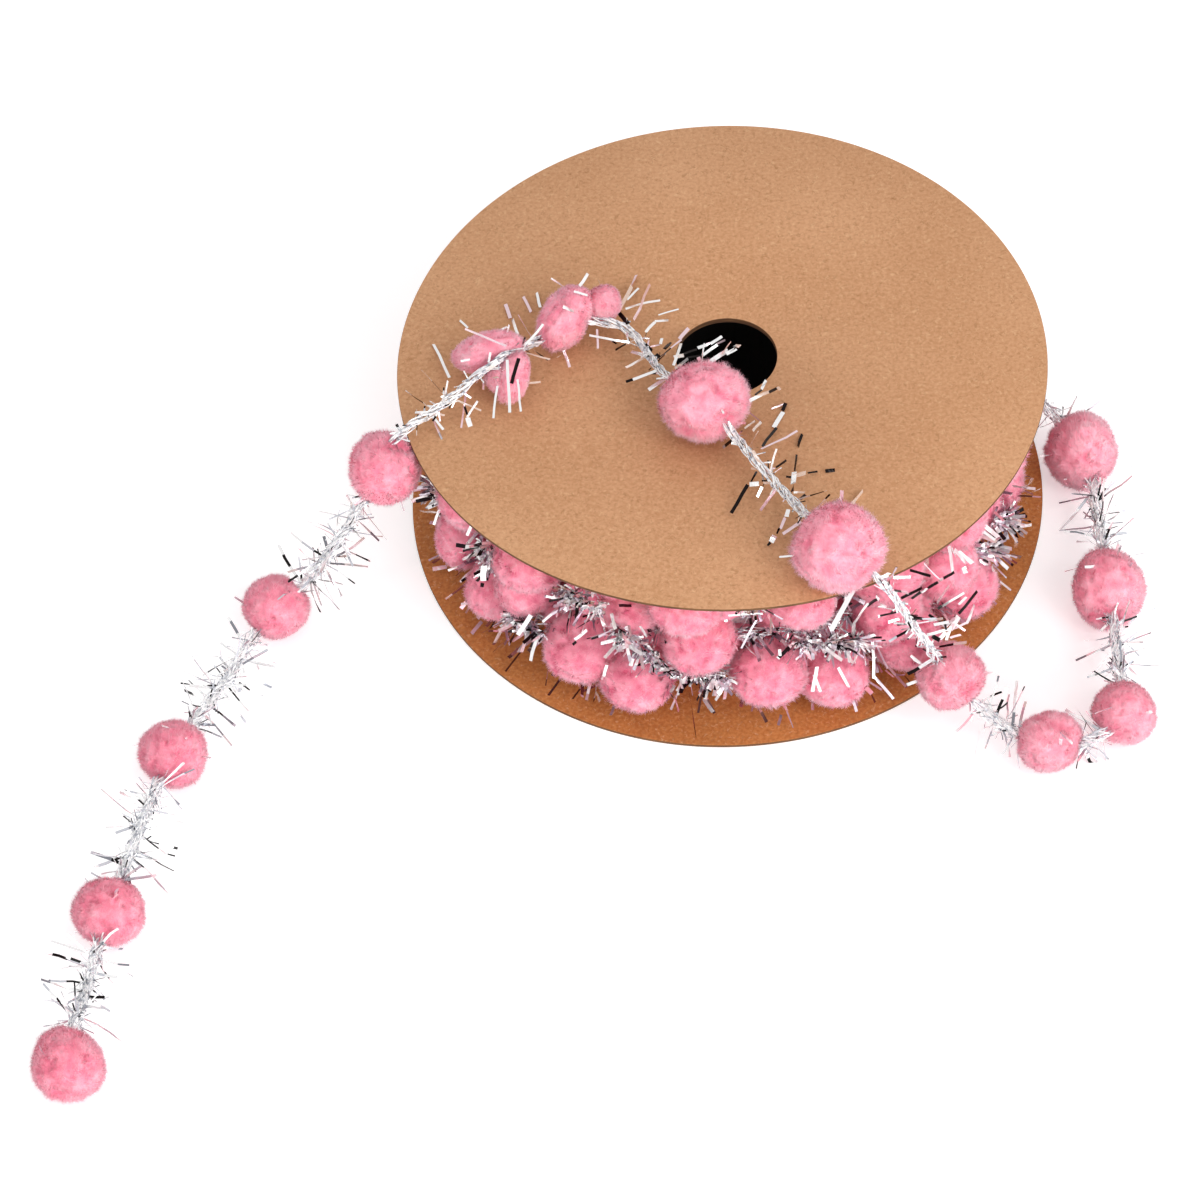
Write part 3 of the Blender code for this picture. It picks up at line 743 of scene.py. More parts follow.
class Ball:
    # A pompom's surface in its own axes, which are along the thread, aside and up
    def __init__(self, sizes, dent, chance):
        self.sizes, self.dent = np.array(sizes), dent
        self.waves = []
        for lengths in pile["fields"]:
            ways = unit(chance.normal(0, 1, (pile["waves"], 3)))
            self.waves.append(ways * chance.uniform(*lengths, (pile["waves"], 1)))
        self.starts = chance.uniform(0, math.tau, (len(self.waves), pile["waves"]))
        lengths = chance.uniform(pile["lumpLow"], pile["lumpHigh"], (pile["lumps"], 1))
        self.lumpWaves = unit(chance.normal(0, 1, (pile["lumps"], 3))) * lengths
        self.lumpStarts = chance.uniform(0, math.tau, pile["lumps"])

    def field(self, directions, number):
        waves = np.sin(directions @ self.waves[number].T + self.starts[number])
        return waves.sum(1) / math.sqrt(pile["waves"] / 2)

    def lumps(self, directions):
        # Uneven trimming, which leaves no pompom quite round
        waves = np.sin(directions @ self.lumpWaves.T + self.lumpStarts)
        return waves.sum(1) / math.sqrt(pile["lumps"] / 2) * pile["lumpHeight"]

    def crease(self, directions):
        # Clumps of pile with short creases between them, and a dent where the thread goes in
        folds = np.exp(-(self.field(directions, 0) / pile["creaseWidth"]) ** 2)
        folds *= 0.5 + 0.5 * np.tanh(pile["foldEnds"] * self.field(directions, 1))
        fromThread = np.arccos(np.clip(np.abs(directions[:, 0]), 0, 1))
        return folds, np.exp(-(fromThread / pile["dentWidth"]) ** 2)

    def surface(self, directions):
        folds, dent = self.crease(directions)
        tufts = self.field(directions, 2)
        shape = 1 + self.lumps(directions) + pile["tuftHeight"] * tufts
        shape -= pile["creaseDepth"] * folds + self.dent * dent
        return directions * self.sizes * shape[:, None], np.clip(folds + dent * (self.dent > 0), 0, 1), tufts

    def normals(self, directions):
        # Across the surface, by two small steps along it
        one = unit(np.cross(directions, pile["skew"]))
        here = self.surface(directions)[0]
        steps = [self.surface(unit(directions + way * pile["normalStep"]))[0] - here
                 for way in (one, np.cross(directions, one))]
        return unit(np.cross(*steps))


def pompom(centre, along, up, sizes, dent, seed, fibres, coreLevel, lowest, highest=math.inf):
    # Points, faces, and for each point its depth in the pile and its soft normal
    axes = np.array((along, np.cross(up, along), up))
    chance = np.random.default_rng(seed)
    ball = Ball(sizes, dent, chance)
    directions, coreFaces = coreShapes[coreLevel]
    core, creased, _ = ball.surface(directions)
    core = core * pile["core"]
    hairs = evenDirections(fibres, chance)
    surface, creasedHere, tufts = ball.surface(hairs)
    normals = ball.normals(hairs)
    combed = np.cross(hairs, ball.waves[0][0])
    lie = unit(chance.normal(0, 1, (fibres, 3)) + combed * pile["combed"])
    lie = unit(lie - normals * np.einsum("ij,ij->i", lie, normals)[:, None])
    stray = chance.random(fibres) < pile["strayShare"]
    high = np.where(stray, chance.uniform(1.0, pile["strayHigh"], fibres),
                    chance.uniform(pile["tipLow"], pile["tipHigh"], fibres))
    aside = chance.uniform(pile["leastLie"], 1.0, fibres) * pile["lie"]
    root = surface * pile["root"]
    tip = surface * high[:, None] + lie * aside[:, None]
    facing = normals + chance.normal(0, pile["facing"], (fibres, 3)) + (0, 0, pile["upwards"])
    half = np.where(stray, pile["strayWidth"], pile["width"]) / 2
    across = unit(np.cross(tip - root, facing)) * half[:, None]
    # Painted shade and light: creases and the dent take depth off, which paints them darker, and tufts paint
    # paler
    rootDepth, tipDepth = (high - fall * creasedHere + pile["tuftDepth"] * tufts
                           for high, fall in (pile["rootDepth"], pile["tipDepth"]))
    tipDepth = tipDepth + chance.normal(0, pile["depthNoise"], fibres)
    soft = unit(normals + chance.normal(0, pile["roughNormal"], (fibres, 3)))
    hairPoints = np.stack([root - across, root + across, tip], 1)
    hairDepths = np.stack([rootDepth, rootDepth, tipDepth], 1)
    points = np.concatenate([core, hairPoints.reshape(-1, 3)]) @ axes + np.array(centre)
    points[:, 2] = np.clip(points[:, 2], lowest, highest)
    faces = [coreFaces, np.arange(3 * len(hairPoints)).reshape(-1, 3) + len(core)]
    # The felted middle is painted darker in its creases too: painted shade
    depth = np.concatenate([pile["coreDepth"][0] - pile["coreDepth"][1] * creased, hairDepths.ravel()])
    soft = np.concatenate([ball.normals(directions), np.repeat(soft, 3, axis=0)]) @ axes
    return points, faces, np.column_stack([np.clip(depth, 0, 1), soft])


def makePlush(name, parts, material):
    points, faces, values = joined(parts)
    made = newPiece(name, points, faces, material)
    addValues(made, "paintedPileShade", "FLOAT", values[:, 0])
    made.data.shade_smooth()
    made.data.normals_split_custom_set_from_vertices(values[:, 1:].tolist())
    return made


def trimTo(points, centre, trim, lowest):
    away = points - centre
    points[:, 0] += away[:, 0] * (trim.wide - 1) + trim.right * mm
    points += np.outer(away @ upThePhoto * (trim.tall - 1) + trim.up * mm, upThePhoto)
    points += towardsViewer * trim.near * mm
    points[:, 2] = np.maximum(points[:, 2], lowest)


def makeLoosePompoms():
    made = []
    for number, k in enumerate(pompomStops, 1):
        stop = route[k]
        place = np.array((stop.x, stop.y, stop.z))
        lowest = 0.0 if stop.z < spool["height"] else spool["height"] + spool["gap"] / 2
        if stop.form in lobes:
            parts = []
            for lobe in lobes[stop.form]:
                turn = math.radians(lobe.turn)
                wideWay = np.array((math.cos(turn), 0.0, 0.0)) + upThePhoto * math.sin(turn)
                shift = np.array((lobe.right, 0.0, 0.0)) + upThePhoto * lobe.up + towardsViewer * lobe.near
                parts.append(pompom(place + shift * mm, wideWay, towardsViewer,
                                    np.array((lobe.wide, lobe.tall, lobe.deep)) * mm, 0.0,
                                    seeds["lobes"] + number + len(parts),
                                    round(pile["fibres"] * pile["lobeShare"]), pile["coreLevel"], lowest))
        else:
            along, _, up = looseLine.axes(stopRuns[k])
            parts = [pompom(place, along, up, [stop.pompom / 2] * 3, pile["dentDepth"], number,
                            pile["fibres"], pile["coreLevel"], lowest)]
        for part in parts:
            # This pompom's painted light and shade
            part[2][:, 0] = np.clip(part[2][:, 0] + pompomPaintedLight.get(number, 0.0), 0, 1)
            trimTo(part[0], place, trims[number], lowest)
        ball = makePlush(f"loosePompom_{number:02d}", parts, materials["plush"])
        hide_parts(f"pompom_{number:02d}")
        made.append(ball)
    return made


loosePompoms = makeLoosePompoms()
print("loose pompoms made")

# The wound roll, as three turns of ribbon over the inner ones

roll = {"bottom": 0.8 * mm, "top": 28.2 * mm, "radius": 32.0 * mm, "pompom": 10.0 * mm, "dent": 0.02,
        "inner": 17.3 * mm, "mouldSteps": 240, "levels": 34, "turnPitch": 2.4 * mm, "turnRidge": 0.5 * mm,
        "wobble": 0.25 * mm, "wobbles": 37, "usualReach": 38.4, "threadIn": 1.5}
# The turns below the outer ones: levels, pompoms in each, and how far they stray, in millimetres and degrees
innerTurns = {"levels": (6.5, 14.5, 22.0), "each": 16, "reach": 33.5, "stray": 0.8, "turn": 7,
              "turnStray": 4}

Wound = namedtuple("Wound", "angle reach level wide tall", defaults=(10.9, 10.1))


def woundRow(level, *angles):
    return tuple(Wound(angle, roll["usualReach"], level) for angle in angles)


turns = {
    "Low": (
        Wound(-161, 39.2, 8.2, 8.6, 10.0), Wound(-147, 38.6, 6.8, 9.2, 9.6),
        Wound(-122.5, 38.2, 7.4, 12.0, 10.4), Wound(-110, 39.0, 6.1, 11.6, 8.8),
        Wound(-83, 39.0, 9.2, 11.0, 10.8), Wound(-70, 39.6, 5.8, 11.0, 9.6), Wound(-53, 39.2, 6.2),
        Wound(-36, 39.4, 6.2), Wound(-23, 35.6, 12.5), Wound(-7, 37.6, 6.4, 10.0, 9.6),
        *woundRow(6.4, 36, 75, 114, 153),
    ),
    "Middle": (
        Wound(-138, 38.0, 13.6, 9.6, 10.2), Wound(-97, 38.6, 15.8, 10.8, 9.8),
        *woundRow(13.8, -57), *woundRow(14.2, -41), *woundRow(13.2, 62, 101, 140, 179),
    ),
    "High": (
        *woundRow(21.8, -155, -134), Wound(-112, 36.0, 17.6, 9.0, 8.6),
        Wound(-99, 37.6, 23.1, 11.6, 9.8), Wound(-75, 37.0, 21.4, 9.8, 9.4),
        *woundRow(21.8, -57, -38, -18, 2, 19), *woundRow(20.6, 49, 88, 127, 166),
    ),
}


def woundLine(turn):
    # The thread of one turn, through its pompoms, as a closed line
    angles = np.array([row.angle for row in turn], float)
    order = np.argsort(angles)
    angles = angles[order]
    around = np.arange(-180.0, 180.5, 1.0)
    reach = np.interp(around, angles, np.array([row.reach for row in turn])[order], period=360)
    level = np.interp(around, angles, np.array([row.level for row in turn])[order], period=360)
    flat = np.radians(around)
    reach = reach - roll["threadIn"]
    return Line(np.stack([np.cos(flat) * reach * mm, np.sin(flat) * reach * mm, level * mm], 1))


def rollPompom(flat, reach, level, sizes, seed, fibres, coreLevel):
    outwards = np.array((math.cos(flat), math.sin(flat), 0.0))
    centre = (outwards * reach + (0.0, 0.0, level)) * mm
    return pompom(centre, (-math.sin(flat), math.cos(flat), 0.0), (0.0, 0.0, 1.0), sizes, roll["dent"], seed,
                  fibres, coreLevel, roll["bottom"], roll["top"])


def makeRollPompoms():
    for number, (name, turn) in enumerate(turns.items(), 1):
        parts = []
        for k, row in enumerate(turn):
            sizes = np.array((row.wide, row.wide, row.tall)) * mm / 2
            parts.append(rollPompom(math.radians(row.angle), row.reach, row.level, sizes,
                                    seeds["turn"] * number + k, pile["rollFibres"], pile["coreLevel"]))
        makePlush(f"woundPompoms{name}", parts, materials["rollPlush"])


def makeInnerTurns():
    # Pompoms of the turns below, which show dark between the outer ones
    parts = []
    chance = np.random.default_rng(seeds["inner"])
    stray, turnStray = innerTurns["stray"], innerTurns["turnStray"]
    for level in innerTurns["levels"]:
        for k in range(innerTurns["each"]):
            angle = 360 * k / innerTurns["each"] + level * innerTurns["turn"]
            angle += chance.uniform(-turnStray, turnStray)
            reach = innerTurns["reach"] + chance.uniform(-stray, stray)
            parts.append(rollPompom(math.radians(angle), reach, level + chance.uniform(-stray, stray),
                                    [roll["pompom"] / 2] * 3, seeds["innerPompoms"] + len(parts),
                                    pile["innerFibres"], pile["innerLevel"]))
    makePlush("woundPompomsInner", parts, materials["rollPlush"])


def makeRollMiddle():
    # The wound thread itself, a ring with a ridge for each turn
    steps, levels = roll["mouldSteps"], roll["levels"]
    heights = np.linspace(roll["bottom"], roll["top"], levels)
    ridge = np.abs(np.sin(math.pi * (heights - roll["bottom"]) / roll["turnPitch"])) * roll["turnRidge"]
    radii = np.concatenate([[roll["inner"]], roll["radius"] + ridge, [roll["inner"]]])
    tops = np.concatenate([[roll["bottom"]], heights, [roll["top"]]])
    flat = np.linspace(0, math.tau, steps, endpoint=False)
    wobble = roll["wobble"] * np.sin(flat * roll["wobbles"])
    points = []
    for radius, top in zip(radii, tops):
        here = radius + (wobble if radius > roll["inner"] else 0)
        points.append(np.stack([np.cos(flat) * here, np.sin(flat) * here, np.full(steps, top)], 1))
    row = np.arange(len(points))[:, None] * steps
    above = (row + steps) % (len(points) * steps)
    around = np.arange(steps)[None, :]
    after = (around + 1) % steps
    faces = np.stack([row + around, row + after, above + after, above + around], -1).reshape(-1, 4)
    made = newPiece("woundThreadRing", np.concatenate(points), [faces], materials["yarn"])
    facesOut(made)
    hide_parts("wound_roll")


makeRollPompoms()
makeInnerTurns()
makeRollMiddle()
print("roll made")

# Tinsel: strips of foil caught in the thread's twist

blade = {"stations": 4, "twist": 1.8, "bendWay": 0.5, "lean": 0.5, "stubLean": 1.6, "root": 0.5 * mm,
         "markedBend": 0.08, "markedFacing": 0.3}
Tinsel = namedtuple("Tinsel", "perMetre short long narrow wide stubsPerMetre stub stubWidth bend")
tinselKinds = {
    "overBoard": Tinsel(420, 2.0 * mm, 6.0 * mm, 0.25 * mm, 0.5 * mm, 2600, 1.7 * mm, 0.3 * mm, 0.1),
    "overFloor": Tinsel(2600, 2.2 * mm, 8.0 * mm, 0.2 * mm, 0.46 * mm, 5600, 2.8 * mm, 0.26 * mm, 0.16),
    "wound": Tinsel(1700, 2.0 * mm, 5.5 * mm, 0.3 * mm, 0.6 * mm, 5000, 2.2 * mm, 0.4 * mm, 0.16),
    "band": Tinsel(3600, 1.5 * mm, 4.5 * mm, 0.3 * mm, 0.6 * mm, 17000, 2.0 * mm, 0.5 * mm, 0.16),
}
# What blades() takes for each strip. Its flat side faces "faces", its painted reflection tone is at least
# "tones", and "variety" is how much that painted reflection varies.
Strips = namedtuple("Strips", "roots directions lengths widths variety tones bends faces")


def strips(roots, directions, lengths, widths, variety, bend, chance):
    count = len(roots)
    return Strips(roots, directions, lengths, widths, np.full(count, variety), np.zeros(count),
                  np.full(count, bend), chance.normal(0, 1, (count, 3)))


def markedStrips(rows, chance):
    # Strips measured one by one: root, reach and width in tenths of a millimetre, and painted reflection
    # tone in tenths
    table = np.array(rows, float) / 10
    reach = table[:, 3:6] * mm
    count = len(table)
    return Strips(table[:, :3] * mm, reach, np.linalg.norm(reach, axis=1), table[:, 6] * mm,
                  np.zeros(count), table[:, 7], np.full(count, blade["markedBend"]),
                  towardsViewer + chance.normal(0, blade["markedFacing"], (count, 3)))


def blades(roots, directions, lengths, widths, variety, tones, bends, faces, chance):
    # Each strip is three flat lengths with a small bend and twist at each joint
    count, stations = len(roots), blade["stations"]
    heading = unit(directions)
    flatWay = unit(np.cross(heading, faces))
    place = roots.copy()
    rows = []
    for k in range(stations):
        rows.append((place - flatWay * widths[:, None] / 2, place + flatWay * widths[:, None] / 2))
        heading = unit(heading + chance.normal(0, blade["bendWay"], (count, 3)) * bends[:, None])
        flatWay = unit(flatWay + np.cross(heading, flatWay) * chance.normal(0, blade["twist"], (count, 1))
                       * bends[:, None])
        flatWay = unit(flatWay - heading * np.einsum("ij,ij->i", flatWay, heading)[:, None])
        place = place + heading * lengths[:, None] / (stations - 1)
    points = np.stack([np.stack(row, 1) for row in rows], 1).reshape(-1, 3)
    number = np.repeat(np.arange(count) + 0.5, stations * 2)
    along = lengths[:, None] * np.linspace(0, 1, stations)[None, :] / foil["crease"]
    along = along + chance.uniform(0, foil["creases"], (count, 1))
    values = np.stack([number, np.repeat(along, 2, axis=1).ravel(), np.repeat(variety, stations * 2),
                       np.repeat(tones, stations * 2)], 1)
    first = (np.arange(count)[:, None] * stations + np.arange(stations - 1)[None, :]).reshape(-1, 1) * 2
    return points, [first + np.array([[0, 1, 3, 2]])], values


def tinselOn(line, start, stop, chance, kind, spread=None):
    # Long blades and short stubs along a stretch of thread. With a spread, they keep to its outer side.
    long = round((stop - start) * kind.perMetre)
    stubs = round((stop - start) * kind.stubsPerMetre)
    count = long + stubs
    where = chance.uniform(start, stop, count)
    along, side, up = line.axes(where)
    turn = chance.uniform(0, math.tau, count) if spread is None else chance.normal(0, spread, count)
    outwards = np.cos(turn)[:, None] * side + np.sin(turn)[:, None] * up
    lean = chance.normal(0, blade["lean"], count)
    lean[long:] = chance.normal(0, blade["stubLean"], stubs)
    lengths = chance.triangular(kind.short, kind.short * 2, kind.long, count)
    lengths[long:] = chance.uniform(kind.stub / 2, kind.stub, stubs)
    widths = chance.uniform(kind.narrow, kind.wide, count)
    widths[long:] = chance.uniform(kind.stubWidth / 2, kind.stubWidth, stubs)
    roots = line.at(where) + outwards * blade["root"]
    directions = outwards + along * lean[:, None]
    return strips(roots, directions, lengths, widths, foil["allTones"], kind.bend, chance)


# Strips that stick out of the pompoms
flecks = {"each": 5, "short": 1.2 * mm, "long": 2.8 * mm, "narrow": 0.28 * mm, "wide": 0.5 * mm,
          "root": 0.88, "variety": 0.6, "bend": 0.1, "upwards": 0.3, "stray": 0.5}


def flecksOn(centres, sizes, chance):
    count = len(centres) * flecks["each"]
    directions = unit(chance.normal(0, 1, (count, 3)) + (0, 0, flecks["upwards"]))
    centres, sizes = (np.repeat(table, flecks["each"], 0) for table in (centres, sizes))
    roots = centres + directions * sizes[:, None] * flecks["root"]
    heading = directions + chance.normal(0, flecks["stray"], (count, 3))
    lengths = chance.uniform(flecks["short"], flecks["long"], count)
    widths = chance.uniform(flecks["narrow"], flecks["wide"], count)
    return strips(roots, heading, lengths, widths, flecks["variety"], flecks["bend"], chance)


def makeTinsel(name, pieces, chance, material, limit):
    points, faces, values = blades(*(np.concatenate(part) for part in zip(*pieces)), chance)
    made = newPiece(name, limit(points), faces, material)
    addValues(made, "foilPlace", "FLOAT_VECTOR", values[:, :3])
    addValues(made, "paintedFoilReflection", "FLOAT", values[:, 3])
    return made


def keepOffSpool(points):
    # Nothing goes into the floor or the upper board
    radius = np.hypot(points[:, 0], points[:, 1])
    over = (radius < spool["radius"]) & (points[:, 2] > spool["height"] - spool["below"])
    top = spool["height"] + boardRise(points[over, 0], points[over, 1]) + spool["clear"]
    points[over, 2] = np.maximum(points[over, 2], top)
    points[:, 2] = np.maximum(points[:, 2], spool["clear"])
    return points


# Strips over the upper flange and over the rise to it
looseBlades = (
    (50, -182, 319, 17, 54, -25, 4, 9), (67, -128, 295, 13, 29, -1, 6, 0), (80, -98, 294, 6, 13, 0, 5, 9),
    (48, -189, 323, 51, 47, -28, 3, 5), (67, -225, 326, 15, 23, -15, 3, 9),
    (99, -164, 295, 4, 24, -1, 5, 9), (92, -222, 313, 5, 43, -17, 3, 9), (89, -253, 324, 2, 30, -11, 7, 0),
    (87, -272, 330, 1, 16, -5, 5, 9), (134, -210, 296, 13, 2, 0, 5, 9), (110, -217, 302, 14, 7, -6, 3, 9),
    (88, -236, 319, 20, 18, -16, 6, 0), (80, -241, 325, 7, 3, -5, 3, 9),
    (41, -234, 330, -10, -12, -6, 3, 9), (28, -249, 321, -25, -34, -19, 5, 9),
    (43, -253, 327, -13, 3, -5, 6, 0), (65, -256, 330, -16, 1, -1, 5, 0),
    (47, -259, 327, -7, -11, -7, 4, 0), (66, -266, 330, -22, -25, -14, 4, 6),
    (81, -302, 330, -4, -9, -4, 7, 0), (76, -312, 325, -9, -11, -8, 4, 6),
    (68, -323, 317, -5, -6, -4, 3, 9), (61, -331, 311, -5, -7, -5, 7, 0), (55, -338, 306, -4, -3, -3, 4, 9),
    (97, -324, 330, -26, -7, -13, 4, 5), (89, -273, 330, 17, 8, -11, 3, 0),
    (38, -148, 313, 12, 27, -15, 4, 0), (27, -148, 319, 17, 25, -17, 3, 0),
    (50, -120, 298, -15, 18, 1, 2, 5), (65, -94, 294, 17, 10, 0, 2, 5), (165, -274, 297, 17, 27, -1, 8, 0),
    (101, -364, 321, 5, 5, 4, 5, 0), (97, -285, 330, 9, 12, -8, 4, 9), (-139, 71, 327, 15, 67, -34, 6, 0),
    (-126, 135, 293, 11, 28, 0, 5, 6), (-129, 106, 306, 17, 34, -13, 3, 0),
    (-120, 48, 329, 30, 87, -36, 4, 6), (-131, 75, 322, 47, 43, -29, 3, 0),
    (-140, 61, 330, 12, -22, 0, 6, 9), (-104, 25, 328, 13, 34, -17, 4, 0),
    (-91, 59, 312, 19, 14, -14, 3, 0), (-105, 1, 330, 9, -12, 0, 5, 9), (-91, -18, 330, 5, -6, 0, 6, 9),
    (-79, -2, 322, 8, 17, -9, 5, 9), (-127, 7, 329, -56, 17, -6, 3, 0), (-171, 35, 327, -1, -24, -13, 3, 6),
    (-163, 45, 330, -31, 3, 0, 3, 0), (-218, 3, 322, 9, -20, -12, 4, 6), (-251, 110, 293, -6, 28, 0, 4, 0),
    (-264, 102, 293, -10, 29, 0, 4, 6), (-281, 42, 314, -12, 50, -20, 4, 0),
    (-293, 92, 293, -7, 26, 0, 5, 6), (-311, 67, 294, 14, 9, 0, 3, 0), (-352, 76, 294, -10, 16, 0, 3, 0),
    (-376, -29, 311, -20, 80, -17, 4, 0), (-350, -56, 330, -8, -67, -17, 3, 6),
    (-378, -79, 330, 47, -15, -13, 3, 0), (-351, -108, 317, 15, 24, 6, 3, 0),
    (-350, -108, 317, 2, -11, -6, 7, 0), (-327, -48, 330, -2, -20, -2, 3, 0),
    (-354, -94, 325, 4, -10, -6, 3, 9), (-66, -15, 319, 13, 15, -11, 5, 0),
    (-53, 0, 308, 20, 22, -15, 3, 9), (-33, 23, 293, 12, 5, 0, 5, 0), (-21, 28, 293, 6, 3, 0, 3, 6),
    (-15, 30, 293, 17, 12, 0, 4, 0), (-65, -41, 326, 17, 35, -19, 4, 0), (-27, 9, 293, 22, 18, 0, 4, 0),
    (-7, 29, 293, 12, 7, 0, 3, 6), (-48, -6, 307, 21, 14, -14, 3, 9), (-67, -35, 325, 9, 66, -23, 4, 0),
    (-58, 33, 302, 11, 26, -9, 5, 6), (-66, -52, 330, -36, -21, -11, 5, 0), (-79, 0, 322, 9, 16, -9, 4, 9),
    (-85, -78, 325, 4, -9, -1, 3, 0), (-104, 2, 330, 8, -13, 0, 3, 9), (-84, 7, 323, 2, 16, -6, 4, 0),
    (-86, 79, 302, 29, 19, -9, 2, 0), (-16, -82, 384, 23, 25, -8, 6, 0), (0, -70, 384, 12, 29, -8, 2, 5),
    (6, -69, 384, 13, 15, -8, 5, 0), (17, -61, 384, 4, 13, -8, 2, 9), (18, -54, 384, 7, 3, -8, 6, 0),
    (-32, -73, 384, 3, -4, -8, 5, 0), (-293, -41, 386, -53, 40, -4, 3, 6),
    (-276, -64, 386, -11, -43, -4, 5, 9), (-292, -66, 386, 3, -94, -4, 4, 0),
    (-278, -102, 386, 6, -54, -4, 3, 0), (-305, -112, 386, -7, -57, -4, 3, 0),
    (-305, -68, 386, -12, -11, -4, 6, 0), (-200, 54, 386, 19, -4, -4, 3, 0),
    (-355, -65, 386, 12, 4, -4, 3, 0), (35, -130, 355, 28, 24, -11, 5, 0),
    (62, -116, 355, 11, 16, -11, 4, 9), (74, -107, 355, 4, 5, -11, 4, 0), (43, -120, 355, 9, 20, -11, 3, 9),
    (52, -110, 355, 9, 22, -11, 4, 0), (59, -95, 355, 5, 14, -11, 3, 9), (225, -430, 291, 28, -6, 29, 4, 9),
    (239, -430, 289, 12, -6, 20, 4, 9), (252, -430, 301, 8, -6, 17, 4, 0),
    (260, -430, 310, 13, -6, 20, 4, 9), (274, -430, 323, 7, -6, 14, 4, 0),
    (281, -430, 330, 14, -6, 19, 4, 9), (264, -430, 336, -26, -6, 22, 4, 9),
    (277, -430, 327, -22, -6, 43, 3, 5), (266, -430, 274, 4, -6, 26, 4, 9),
    (273, -430, 278, 16, -6, 45, 5, 0), (280, -430, 270, 27, -6, 36, 3, 0),
    (274, -430, 265, 5, -6, 14, 4, 9), (291, -430, 219, 11, -6, 40, 7, 0),
    (302, -430, 253, 23, -6, 52, 4, 9), (313, -430, 231, 13, -6, 53, 4, 0),
    (302, -430, 273, 9, -6, 26, 3, 0), (237, -430, 251, 18, -6, 2, 4, 9), (262, -430, 253, 7, -6, -1, 4, 9),
    (223, -430, 247, -15, -6, 0, 4, 0), (215, -430, 336, 23, -6, 6, 4, 0),
    (205, -430, 274, -11, -6, 11, 3, 0), (260, -430, 209, 31, -6, 17, 4, 0),
    (292, -430, 219, 21, -6, 20, 3, 5), (262, -430, 241, 19, -6, 9, 4, 0),
    (269, -430, 231, 19, -6, 11, 4, 0), (283, -430, 224, 15, -6, 29, 5, 0),
    (286, -430, 196, 6, -6, 37, 4, 0), (277, -430, 199, 8, -6, 22, 6, 0),
    (267, -430, 207, 10, -6, -3, 6, 9), (291, -430, 201, 14, -6, 14, 4, 5),
    (278, -430, 234, 12, -6, -11, 3, 6), (283, -430, 240, 2, -6, -13, 3, 9),
    (296, -430, 233, 15, -6, -9, 3, 6), (197, -430, 279, 9, -6, 3, 4, 0),
    (196, -430, 289, -6, -6, 17, 4, 0), (198, -430, 337, 12, -6, 15, 7, 0),
    (201, -430, 329, 7, -6, -7, 4, 0), (233, -430, 234, -18, -6, 12, 3, 0),
    (52, -236, 332, 15, 11, -6, 2, 6), (-106, -4, 327, 22, 11, -4, 2, 6),
    (-71, -64, 335, -14, -14, -10, 2, 6), (-310, -85, 372, 5, -27, 14, 2, 6),
    (240, -430, 233, 22, 0, 8, 2, 6), (198, -419, 315, 17, -11, 21, 2, 6),
    (196, -418, 318, 5, -12, 11, 2, 6), (131, -447, 250, 38, 12, 74, 7, 0),
)


def halfLength(k):
    return route[k].pompom / 2 * pompomForm["tinselStart"]


def makeLooseTinsel():
    stretches = [(0.0, stopRuns[pompomStops[0]] - halfLength(pompomStops[0]))]
    for k, after in zip(pompomStops, pompomStops[1:]):
        overIt = stopRuns[k] if route[k].form == "across" else stopRuns[k] + halfLength(k)
        intoIt = stopRuns[after] if route[after].form == "across" else stopRuns[after] - halfLength(after)
        stretches.append((overIt, intoIt))
    # Over the board and over the floor the strips take film copies with different painted reflections
    groups = {"Right": (range(0, 5), "floorFoil"), "Top": (range(5, 10), "boardFoil"),
              "Left": (range(10, 14), "floorFoil")}
    made = []
    for seed, (name, (numbers, film)) in enumerate(groups.items(), seeds["looseTinsel"]):
        chance = np.random.default_rng(seed)
        kind = tinselKinds["overBoard" if film == "boardFoil" else "overFloor"]
        pieces = [tinselOn(threadLine, *stretches[number], chance, kind) for number in numbers]
        stops = [route[pompomStops[number]] for number in numbers]
        centres = np.array([(stop.x, stop.y, stop.z) for stop in stops])
        pieces.append(flecksOn(centres, np.array([stop.pompom / 2 for stop in stops]), chance))
        if film == "boardFoil":
            pieces.append(markedStrips(looseBlades, chance))
        piece = makeTinsel(f"looseTinsel{name}", pieces, chance, materials[film], keepOffSpool)
        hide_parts(*[f"tinsel_{number:02d}" for number in numbers])
        made.append(piece)
    return made


looseTinsel = makeLooseTinsel()

# Stretches of tinsel that lie in front of the wound pompoms: from and to angle, from and to level
bands = ((-124, -115, 22.5, 22.4), (-113, -103, 18.5, 12.5), (-102, -90, 12.0, 10.4), (-78, -64, 16.8, 12.2),
         (-138, -129, 9.0, 9.8), (-145, -143, 20.0, 15.5), (-178, -165, 8.0, 14.0), (-89, -85, 26.6, 26.4),
         (-36, -26, 14.5, 7.5), (-27, -14, 14.5, 5.0), (30, 48, 13.6, 13.4), (73, 86, 13.8, 13.8),
         (112, 126, 13.8, 13.8), (152, 168, 13.6, 13.6))
rollTinsel = {"bandReach": 40.6, "bandSteps": 12, "spread": 0.8, "fringe": 260, "fringeReach": 38.5,
              "fringeLevel": (3.5, 7.0), "fringeShort": 3.0 * mm, "fringeLong": 7.0 * mm, "fringeDrop": 0.45,
              "fringeStray": 0.35, "fringeWide": 0.62 * mm, "fringeBend": 0.12}


def keepInRoll(points):
    # The blades on the roll stay between the two boards
    margin = spool["board"] + spool["clear"]
    points[:, 2] = np.clip(points[:, 2], margin, spool["height"] - margin)
    return points


def bandLine(band):
    flat = np.radians(np.linspace(band[0], band[1], rollTinsel["bandSteps"]))
    level = np.linspace(band[2], band[3], rollTinsel["bandSteps"])
    reach = rollTinsel["bandReach"]
    return Line(np.stack([np.cos(flat) * reach, np.sin(flat) * reach, level], 1) * mm)


